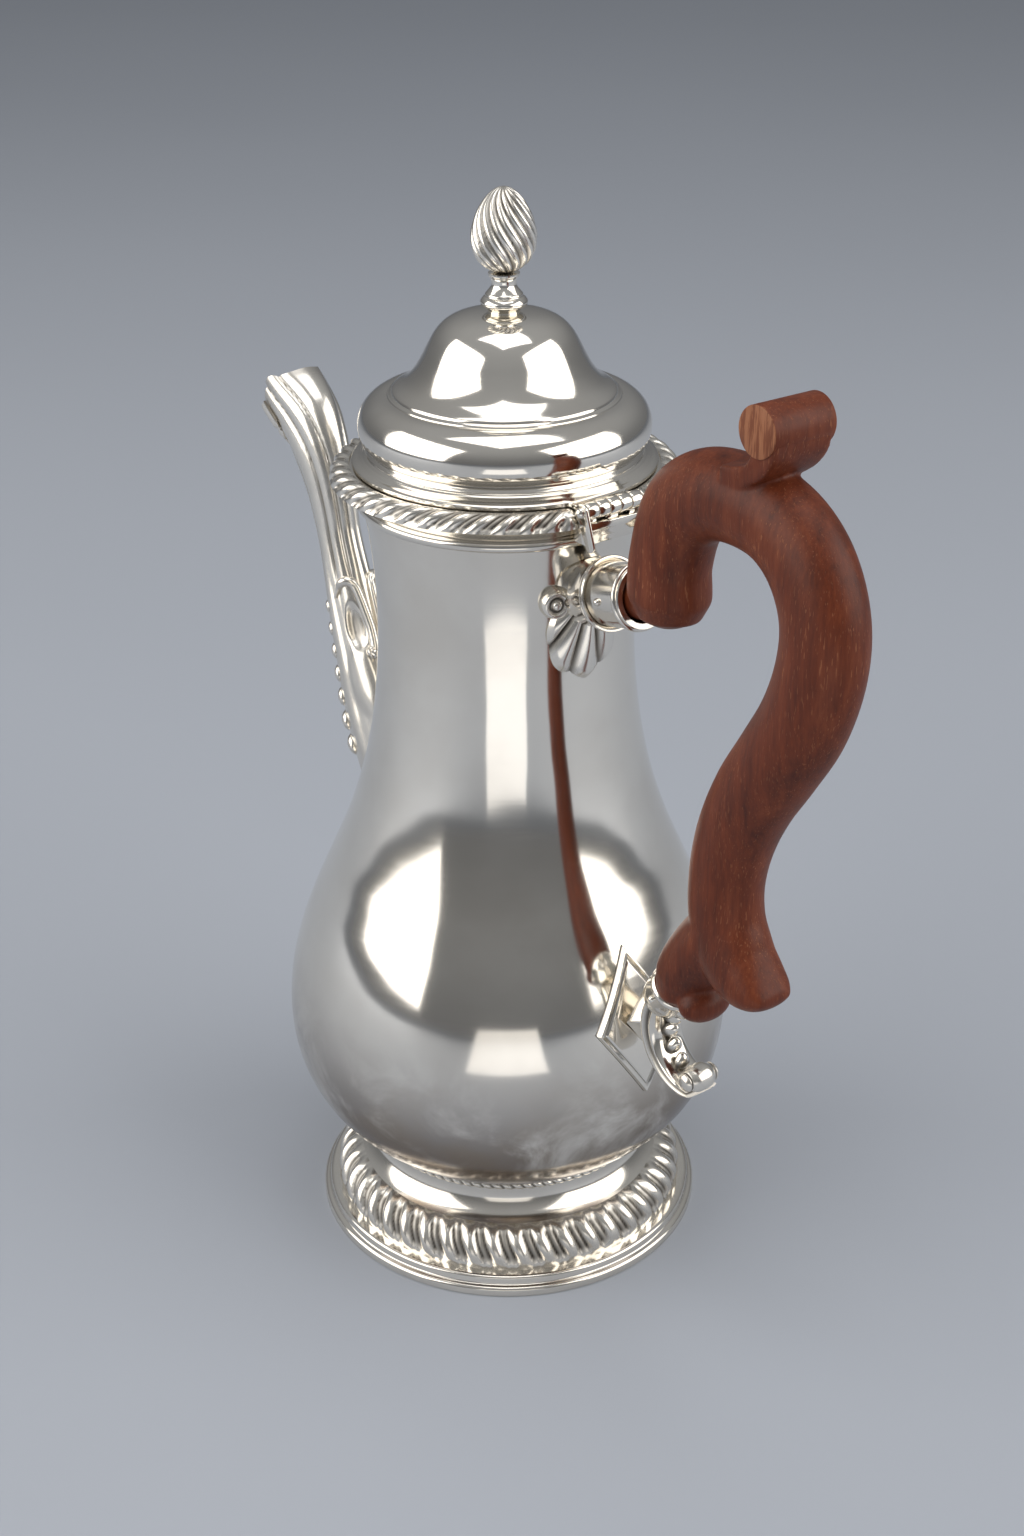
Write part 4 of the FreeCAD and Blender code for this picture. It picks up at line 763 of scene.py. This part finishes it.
class Path:
    def __init__(self, stations, steps=8):
        self.middle = smooth_line([(x, z) for x, z, _, _ in stations], steps)
        self.size = smooth_line([(deep, wide) for _, _, deep, wide in stations], steps)

    def at(self, share):
        place = min(max(share, 0.0), 1.0) * (len(self.middle) - 1)
        i = min(int(place), len(self.middle) - 2)
        part = place - i
        (x0, z0), (x1, z1) = self.middle[i:i + 2]
        (d0, w0), (d1, w1) = self.size[i:i + 2]
        lower, upper = self.middle[max(i - 1, 0)], self.middle[min(i + 2, len(self.middle) - 1)]
        early, late = Vector((x1 - lower[0], z1 - lower[1])), Vector((upper[0] - x0, upper[1] - z0))
        way = (early.normalized() * (1 - part) + late.normalized() * part).normalized()
        centre = Vector((x0 + (x1 - x0) * part, 0.0, z0 + (z1 - z0) * part))
        return centre, Vector((way.y, 0.0, -way.x)), d0 + (d1 - d0) * part, w0 + (w1 - w0) * part

    def skin(self, share, angle, grow=0.0):
        centre, side, deep, wide = self.at(share)
        aside = Vector((0.0, (wide + grow) * math.sin(angle), 0.0))
        return centre + side * ((deep + grow) * math.cos(angle)) + aside


# %% [markdown]
# The spout is a hollow swan neck, cast in two halves. Long ridges with painted shade in the lines between
# them
# run up its neck: one along the back, two on each flank, one in front. Towards the lip they drift forwards
# and open into petals, and the lip's edge is highest at the sides. Low on each flank a smooth panel swells
# under a hollow darkened with painted shade, and painted shade grows towards the lip. All this is written as
# how far the skin stands out and how dark it is painted at a share of the length and an angle from the back.
# The same bar runs up the outside, turns over the lip and comes back down the inside, so the wall and the
# open lip are one surface; the inside gets painted shade.

# %% Spout
SPOUT = Path([
    (-43.6, 100.6, 14.8, 9.8), (-52.2, 112.0, 14.8, 9.8), (-63.5, 129.2, 13.2, 9.0),
    (-72.0, 147.5, 10.2, 7.6), (-79.0, 165.9, 8.1, 6.4), (-83.8, 180.8, 7.4, 5.9), (-87.0, 192.2, 8.3, 6.4),
    (-91.9, 203.7, 10.2, 7.5), (-97.8, 212.3, 11.0, 8.0), (-105.8, 218.6, 8.8, 7.6)])
SPOUT_WALL, SPOUT_OUTSIDE = 1.4, 0.70
RIDGE_LINES = (0.0, 26.0, 63.0, 112.0, 248.0)


def ease(value, low, high):
    share = min(1.0, max(0.0, (value - low) / (high - low)))
    return share * share * (3.0 - 2.0 * share)


def ridge_height(up, degrees):
    turned = abs(degrees) - 28.0 * ease(up, 0.70, 1.0)
    if turned < RIDGE_LINES[1]:
        return math.cos(0.5 * math.pi * max(turned, 0.0) / RIDGE_LINES[1]) ** 0.5
    for first, last in zip(RIDGE_LINES[1:], RIDGE_LINES[2:]):
        if turned < last:
            return max(math.sin(math.pi * (turned - first) / (last - first)), 0.0) ** 0.5
    return 1.0


def soft_spot(up, degrees, at_up, at_degrees, half_up, half_degrees):
    off = ((up - at_up) / half_up) ** 2 + ((abs(degrees) - at_degrees) / half_degrees) ** 2
    return 1.0 - ease(off, 0.0, 1.0)


def spout_relief(up, degrees):
    ridge = ridge_height(up, degrees)
    deep = 0.75 * ease(up, 0.40, 0.50) + 0.40 * ease(up, 0.70, 0.95) + 0.25 * ease(up, 0.10, 0.25)
    hollow = soft_spot(up, degrees, 0.372, 42.0, 0.045, 22.0)
    panel = soft_spot(up, degrees, 0.285, 46.0, 0.075, 36.0)
    flank = soft_spot(up, degrees, 0.30, 90.0, 0.22, 16.0)
    # dark is painted shade: in the grooves between the ridges, in the hollow over each panel and towards the
    # lip
    dark = max((1.0 - ridge) ** 1.3 * min(1.0, deep), 0.6 * hollow, 0.5 * ease(up, 0.80, 1.0))
    curl = 0.9 * ease(up, 0.88, 1.0)
    return 0.3 + curl - deep * (1.0 - ridge) - 2.0 * hollow + 1.3 * panel + 0.8 * flank, dark


def spout_skin(up, degrees, extra=0.0):
    place = SPOUT.skin(up, math.radians(degrees), spout_relief(up, degrees)[0] + extra)
    turned = math.cos(math.radians(degrees))
    rim = 2.2 * ease(turned, -0.45, 0.1) * ridge_height(1.0, degrees) ** 0.25 - 3.8 * ease(turned, 0.30, 1.0)
    return place + Vector((-0.78, 0.0, 0.62)) * (rim * ease(up, 0.90, 1.0))


spout = bmesh.new()
spout_recess = recess_of(spout)


def spout_shape(v, share, angle):
    degrees = math.degrees(angle)
    if share > SPOUT_OUTSIDE:
        back = 1.0 - (share - SPOUT_OUTSIDE) / (1.0 - SPOUT_OUTSIDE)
        # the inside of the spout gets painted shade
        v[spout_recess] = 0.45
        relief = spout_relief(back, degrees)[0] * ease(0.97 - back, 0.0, 0.1)
        return spout_skin(back, degrees, -SPOUT_WALL - 0.5 - relief)
    v[spout_recess] = spout_relief(share / SPOUT_OUTSIDE, degrees)[1]
    return spout_skin(share / SPOUT_OUTSIDE, degrees)


bent_bar(230, 144, spout_shape, spout, closed=False)
face_out(spout)
finished(ended_in_wall(spout), "swan_neck_spout", "pot", ["spout_left_half", "spout_right_half"],
         ORNAMENT_LOOK, 60.0)

# %% [markdown]
# On the spout sit a fluted leaf round the front of the lip, a row of scallops on each side of the front
# that grow smaller upwards, and on each flank a C-scroll with a leaf tip above and a ball below. The leaf
# is a grid wrapped on the skin; the scrolls are thin bars that follow a line drawn on it.

# %% Spout ornament
LEAF_T, LEAF_TURN = 0.7, 66.0
leaf = bmesh.new()
leaf_recess = recess_of(leaf)
bmesh.ops.create_grid(leaf, x_segments=120, y_segments=30, size=1.0)
for v in leaf.verts:
    across, up = v.co.x, (v.co.y + 1.0) / 2
    flute = abs(math.cos(3.5 * math.pi * across)) ** 0.7
    reach = 0.992 - 0.20 * (1.0 - up) * (0.45 + 0.55 * (1.0 - abs(across))) * (0.82 + 0.18 * flute)
    # painted shade and polish residue between the flutes
    v[leaf_recess] = 0.95 * (1.0 - flute)
    edge = min(1.0, 7.0 * (1.0 - abs(across)), 5.0 * up + 0.1)
    v.co = spout_skin(reach, (180.0 if across < 0 else -180.0) + LEAF_TURN * across,
                      0.1 + (0.35 + 0.75 * flute) * edge)
thicken(leaf, lambda faces: faces[len(faces) // 2].normal.x <= 0, LEAF_T)
finished(leaf, "lip_leaf", "pot", ["spout_lip_leaf"], ORNAMENT_LOOK, 60.0)

SCALLOPS, SCALLOP_TURN = 7, 136.0
scallops = bmesh.new()
scallop_recess = recess_of(scallops)
for number in range(2 * SCALLOPS):
    side, share = (-1 if number % 2 else 1), (number // 2) / (SCALLOPS - 1)
    up, size = 0.19 + 0.22 * share, 3.3 * (1.0 - 0.35 * share)
    place, ahead = spout_skin(up, side * SCALLOP_TURN, -0.9), spout_skin(up + 0.02, side * SCALLOP_TURN, -0.9)
    way = (ahead - place).normalized()
    out = (place - SPOUT.at(up)[0]).normalized()
    out = (out - way * out.dot(way)).normalized()
    axes = Matrix((way, out.cross(way), out)).transposed().to_4x4()
    made = bmesh.ops.create_uvsphere(scallops, u_segments=28, v_segments=16, radius=1.0)["verts"]
    for v in made:
        rib = abs(math.cos(2.5 * math.atan2(v.co.y, v.co.x + 1.2)))
        # painted shade and polish residue between the ribs on the top of each scallop
        v[scallop_recess] = 0.8 * (1.0 - rib) * max(0.0, v.co.z)
        v.co = v.co * (0.86 + 0.14 * rib)
        v.co = Vector((v.co.x * 1.1 * size, v.co.y * 1.25 * size, v.co.z * 0.75 * size))
    bmesh.ops.transform(scallops, verts=made, matrix=moved(place) @ axes)
finished(scallops, "spout_scallops", "pot", ["spout_front_beads"], ORNAMENT_LOOK, 75.0)

scroll_line = smooth_line([(0.425, 74.0), (0.445, 58.0), (0.452, 40.0), (0.436, 22.0), (0.400, 15.0),
                           (0.358, 12.0), (0.330, 20.0), (0.322, 32.0)], 10)
for side, word in ((-1, "left"), (1, "right")):
    scroll = bmesh.new()

    def scroll_shape(v, share, angle):
        place = share * (len(scroll_line) - 1)
        i = min(int(place), len(scroll_line) - 2)
        (up0, turn0), (up1, turn1) = scroll_line[i:i + 2]
        up, degrees = up0 + (up1 - up0) * (place - i), side * (turn0 + (turn1 - turn0) * (place - i))
        heart = spout_skin(up, degrees, 0.5)
        ahead = spout_skin(up + (up1 - up0), degrees + side * (turn1 - turn0), 0.5)
        out = (heart - SPOUT.at(up)[0]).normalized()
        across = out.cross(ahead - heart).normalized()
        thick = 0.35 + 1.05 * ease(share, 0.0, 0.22) + 0.75 * ease(share, 0.86, 0.93)
        thick *= math.sqrt(max(1.0 - ease(share, 0.93, 1.0) ** 2, 0.01))
        return heart + (out * math.cos(angle) + across * math.sin(angle)) * thick

    bent_bar(90, 18, scroll_shape, scroll)
    face_out(scroll)
    finished(scroll, "spout_scroll_" + word, "pot", ["spout_" + word + "_scroll"], ORNAMENT_LOOK, 60.0)

# %% [markdown]
# The lower socket is a thick polished C-scroll on a faceted neck, with a cup that takes the handle's lower
# end. The C is a bar whose thickness swells in the middle, the neck four flats between two lozenges, and
# the hollow of the C holds the petals of a leaf. The neck's first lozenge stands clear of the plate and
# meets it only near the bottom corner.

# %% Lower socket and bud
SCROLL_X, SCROLL_Z, SCROLL_R, SCROLL_SHIFT, SCROLL_INNER, SCROLL_OPEN = 79.07, 92.5, 14.5, 3.6, 11.6, 12.0
lower = bmesh.new()
lower_recess = recess_of(lower)


def c_scroll_shape(v, share, angle):
    off = math.radians(44.0 + 238.0 * share)
    inner = SCROLL_SHIFT * math.cos(off) + math.sqrt(SCROLL_INNER ** 2 - (SCROLL_SHIFT * math.sin(off)) ** 2)
    heading = off + math.radians(SCROLL_OPEN)
    thick = (SCROLL_R - inner) / 2
    away = Vector((math.cos(heading), 0.0, math.sin(heading)))
    across, deep = math.sin(angle), math.cos(angle)
    square = (abs(across) ** 3 + abs(deep) ** 3) ** (-1 / 3)
    groove = max(0.0, 1.0 - abs(deep * square) / 0.6) * ease(abs(across * square), 0.8, 0.95)
    # painted shade and polish residue in the groove along each side of the C
    v[lower_recess] = 0.9 * groove
    heart = Vector((SCROLL_X, 0.0, SCROLL_Z)) + away * (inner + thick)
    aside = Vector((0.0, 5.5 * across * square * (1.0 - 0.2 * groove), 0.0))
    return heart + away * (thick * deep * square) + aside


bent_bar(90, 64, c_scroll_shape, lower)
neck = []
for x, z, half_h, half_w in ((60.9, 90.06, 8.84, 5.98), (66.57, 92.5, 6.0, 4.6)):
    corners = (x, 0, z + half_h), (x, half_w, z), (x, 0, z - half_h), (x, -half_w, z)
    neck.append([lower.verts.new(p) for p in corners])
rims = [[lower.edges.new((loop[i], loop[(i + 1) % 4])) for i in range(4)] for loop in neck]
bmesh.ops.bridge_loops(lower, edges=rims[0] + rims[1])
for loop in neck:
    lower.faces.new(loop)
rounding(lower, list({e for loop in neck for v in loop for e in v.link_edges}), 0.5, 3)
face_out(lower)
CUP = moved((68.25, 0.0, 98.75)) @ turn(38.0, "Y")
cup_side = [(0.0, 0.0), (5.2, 0.0), (6.0, 1.5), (6.3, 4.0), (6.2, 6.6), (6.4, 7.2), (6.75, 7.9),
            (6.6, 8.6), (6.2, 9.0), (4.1, 9.0), (3.85, 8.7), (3.85, 2.0), (0.0, 2.0)]
cup = laid(spun(cup_side, 64), CUP)
PETALS, PETAL_X, PETAL_Z, PETAL_R = 5, 81.6, 92.9, 9.4
for number in range(PETALS):
    heading, size = 132.0 + 27.0 * number, 1.0 - 0.08 * number
    lean = math.radians(heading)
    root = Vector((PETAL_X + PETAL_R * math.cos(lean), 0.0, PETAL_Z + PETAL_R * math.sin(lean)))
    made = bmesh.ops.create_uvsphere(lower, u_segments=24, v_segments=16, radius=1.0)["verts"]
    for v in made:
        # painted shade and polish residue on the outer half of each petal, where it tucks into the C
        v[lower_recess] = 0.9 * ease(v.co.x, -0.7, 0.3)
        v.co = Vector((v.co.x * 3.6 * size, v.co.y * 2.8 * (0.75 + 0.25 * v.co.x), v.co.z * 2.4 * size))
    bmesh.ops.transform(lower, verts=made, matrix=moved(root) @ turn(-heading - 30.0, "Y"))
take_in(lower, cup)
finished(lower, "c_scroll_socket", "pot", ["lower_socket"], FITTING_LOOK, 45.0)
bud_side = smooth_line([
    (0.0, -5.6), (1.5, -5.4), (2.5, -4.4), (2.3, -3.9), (2.6, -3.5), (3.4, -2.0), (3.6, 0.0), (3.4, 2.0),
    (2.6, 3.5), (2.3, 3.9), (2.5, 4.4), (1.5, 5.4), (0.0, 5.6)], 5)
bud = spun(bud_side, 72)
bud_recess = recess_of(bud)
for v in bud.verts:
    # painted shade and polish residue in the groove of each collar
    v[bud_recess] = max(0.0, 1.0 - abs(abs(v.co.z) - 3.9) / 0.5)
laid(bud, moved((83.53, 0.0, 83.35)) @ turn(90.0, "X"))
finished(bud, "c_scroll_bud", "pot", ["lower_socket_bud"], ORNAMENT_LOOK, 60.0)

# %% [markdown]
# Two silver pins with domed ends hold the wood in its sockets.

# %% Handle pins
for word, x, z, half in (("upper", 48.9, 204.4, 8.0), ("lower", 71.63, 103.08, 6.4)):
    pin_side = [(math.sin(a * math.pi / 12), -half - math.cos(a * math.pi / 12)) for a in range(7)]
    pin_side += [(r, -z_) for r, z_ in pin_side[::-1]]
    pin = laid(spun(pin_side, 24), moved((x, 0.0, z)) @ turn(90.0, "X"))
    finished(pin, word + "_rivet", "pot", [word + "_handle_pin"], FITTING_LOOK)

# %% [markdown]
# The handle is one carving: an S-shaped bar of oval section with a tenon at the upper socket, a lobe that
# sits in the lower cup with a small roll under it, and a thumb scroll that grows out of the arch like a
# shaving. Those are made apart and joined by a voxel remesh, which melts them into one skin with soft inner
# corners, as the carver's rasp leaves them; rounds of smoothing, most at the tail, take out the voxel
# steps. The scroll's roll has crisp cut ends of paler end grain, so it is set into that skin afterwards.

# %% Handle
BACK = Path([
    (66.2, 202.6, 4.2, 3.4), (66.0, 204.7, 8.6, 7.0), (65.9, 209.7, 11.1, 9.2),
    (66.0, 218.9, 10.7, 9.0), (70.3, 231.9, 10.8, 9.0), (78.9, 238.5, 10.6, 9.0),
    (90.5, 240.5, 10.5, 9.0), (102.7, 238.9, 10.6, 9.0), (112.0, 232.5, 10.8, 9.0),
    (117.4, 221.9, 10.8, 9.0), (117.6, 210.0, 11.0, 9.0), (113.4, 196.0, 11.0, 9.0),
    (106.0, 182.9, 10.8, 9.0), (98.5, 170.6, 10.6, 8.8), (93.1, 158.0, 10.3, 8.6),
    (90.6, 146.0, 10.0, 8.5), (91.0, 135.6, 10.3, 8.5), (93.8, 129.0, 10.6, 8.5),
    (97.0, 124.6, 10.4, 8.5), (102.2, 121.9, 8.6, 8.1), (106.8, 120.7, 5.2, 7.3),
    (110.2, 120.3, 1.6, 5.2)])
LOBE = Path([(91.1, 132.0, 8.0, 8.4), (84.5, 123.2, 8.4, 8.4), (78.3, 112.4, 8.4, 8.4),
             (77.8, 106.3, 7.2, 7.6), (78.9, 102.1, 2.5, 2.5)])
ROLL_X, ROLL_Z, ROLL_R, ROLL_HALF = 102.6, 260.9, 5.7, 8.4
VOXEL, SKIN_ROUNDS, TAIL_ROUNDS = 0.55, 4, 24
thumb_outline = smooth_line([(90.0, 250.2), (95.0, 251.2), (98.6, 252.8), (100.6, 255.6)], 6)[:-1]
thumb_outline += round_arc((100.6, 255.6), (ROLL_X, ROLL_Z + ROLL_R), (108.2, 260.0), 24)
thumb_outline += smooth_line([(108.2, 260.0), (107.2, 255.2), (103.6, 250.4), (96.4, 246.0)], 6)[1:]
thumb_outline += [(90.0, 243.0)]
wood_form = bent_bar(200, 56, lambda v, share, angle: BACK.skin(share, angle))
bent_bar(60, 40, lambda v, share, angle: LOBE.skin(share, angle), wood_form)
bmesh.ops.create_cone(wood_form, cap_ends=True, segments=48, radius1=5.6, radius2=5.6, depth=14.0,
                      matrix=SOCKET @ moved((0.0, 0.0, 27.0)))
CURL = moved((84.6, 0.0, 106.8)) @ Matrix.Diagonal((5.0, 7.6, 5.0, 1.0))
bmesh.ops.create_uvsphere(wood_form, u_segments=40, v_segments=24, radius=1.0, matrix=CURL)
thumb_start = len(wood_form.verts)
slab(wood_form, thumb_outline, -ROLL_HALF, ROLL_HALF, 0.5)
for v in list(wood_form.verts)[thumb_start:]:
    v.co.y *= 0.88 + 0.12 * ease(v.co.z, 246.0, 254.0)
face_out(wood_form)
wood_mesh = bpy.data.meshes.new("wood_rough")
wood_form.to_mesh(wood_mesh)
wood_form.free()
rough = shown("wood_rough", wood_mesh)
joined = rough.modifiers.new("joined", "REMESH")
joined.mode, joined.voxel_size, joined.adaptivity = "VOXEL", VOXEL, 0.0
carved = bmesh.new()
carved.from_object(rough, bpy.context.evaluated_depsgraph_get())
bpy.data.objects.remove(rough)
bpy.data.meshes.remove(wood_mesh)
tail_skin = [v for v in carved.verts if v.co.x > 93.0 and v.co.z < 138.0]
for verts, rounds in ((carved.verts, SKIN_ROUNDS), (tail_skin, TAIL_ROUNDS)):
    for _ in range(rounds):
        bmesh.ops.smooth_vert(carved, verts=verts, factor=0.5,
                              use_axis_x=True, use_axis_y=True, use_axis_z=True)
worn = carved.verts.layers.float.new("worn")
skin_count = len(carved.verts)
rod(carved, ROLL_X, ROLL_Z, -ROLL_HALF - 0.3, ROLL_HALF + 0.3, ROLL_R + 0.15, 64)
for v in list(carved.verts)[skin_count:]:
    v[worn] = 0.75 if abs(v.co.y) > ROLL_HALF + 0.2 else 0.0
finished(carved, "carved_handle", "pot", ["handle"], WOOD_LOOK, 50.0)

# %% [markdown]
# The stud, washer and nut that hold the finial are inside the lid and are plain turned pieces, so the CAD
# solids stay and only take the silver finish.

# %% CAD pieces that stay
for name in ("finial_stud", "finial_washer", "finial_nut"):
    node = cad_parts[name]
    node.data.materials.clear()
    node.data.materials.append(fitting_silver)
print("kept from the CAD model: finial_stud, finial_washer, finial_nut")

# %% [markdown]
# The set is a wide pale floor and a soft room. Polished silver only shows what stands round it, so two
# wide light panels at the sides and one above give it bright shapes, a low card in front lights the
# neck, and the room is darker towards the horizon.

# %% Floor, room and lights
FLOOR_DARK, FLOOR_PALE, FLOOR_R = (0.375, 0.402, 0.455, 1.0), (0.400, 0.428, 0.482, 1.0), 8.0
floor_finish = Finish("pale_floor")
floor_cloud = floor_finish.noise(floor_finish.place(), 1.5, 2.0)
floor_finish.give(Base_Color=floor_finish.blend(floor_cloud, FLOOR_DARK, FLOOR_PALE),
                  Roughness=0.75 + 0.1 * floor_cloud)
floor_form = bmesh.new()
bmesh.ops.create_circle(floor_form, cap_ends=True, segments=96, radius=FLOOR_R)
floor_mesh = bpy.data.meshes.new("floor")
floor_form.to_mesh(floor_mesh)
floor_form.free()
floor = shown("floor", floor_mesh)
floor.data.materials.append(floor_finish.material)
floor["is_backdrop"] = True

world = bpy.data.worlds.new("room")
world.use_nodes = True
bpy.context.scene.world = world
room = Finish("room", world.node_tree)
up = room.height(room.node("ShaderNodeTexCoord", output=0))
sky = room.node("ShaderNodeValToRGB", {"stops": [(0.0, (0.20, 0.205, 0.215)), (1.0, (0.46, 0.47, 0.48))]},
                {0: room.step(up, -0.05, 0.9)})
background = world.node_tree.nodes["Background"]
room.feed(background.inputs["Color"], sky)
background.inputs["Strength"].default_value = 0.75


def light_panel(name, place, aim, width, height, power, colour):
    data = bpy.data.lights.new(name, "AREA")
    data.shape, data.size, data.size_y = "RECTANGLE", width, height
    data.energy, data.color = power, colour
    way = Vector(aim) - Vector(place)
    lamp = shown(name, data)
    lamp.matrix_world = moved(place) @ way.to_track_quat("-Z", "Y").to_matrix().to_4x4()


BELLY, PANEL_WHITE = (0.0, 0.0, 0.12), (1.0, 0.975, 0.935)
light_panel("left_panel", (-0.50, -1.42, 0.86), BELLY, 1.9, 1.5, 21.0, PANEL_WHITE)
light_panel("right_panel", (1.27, 0.89, 0.92), BELLY, 1.9, 1.6, 21.0, PANEL_WHITE)
light_panel("top_panel", (0.1, 0.0, 1.8), (0.0, 0.0, 0.1), 1.2, 1.2, 8.0, (1.0, 0.99, 0.98))
light_panel("low_card", (0.310, -0.222, 0.02), (0.0, 0.0, 0.40), 0.24, 0.24, 0.14, (1.0, 0.97, 0.93))
bpy.context.scene.view_settings.view_transform = "Standard"
print("floor, room, three light panels and a low card are set")

# %% [markdown]
# Last, the box of the dressed pot is written beside the box of the CAD model, so the two can be compared.

# %% Sizes and finish
bpy.context.view_layer.update()
low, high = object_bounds()
{"cad": [list(cad_low), list(cad_high)], "visual": [list(low), list(high)]}
print("dressed box in metres:", [round(v, 4) for v in low], [round(v, 4) for v in high])
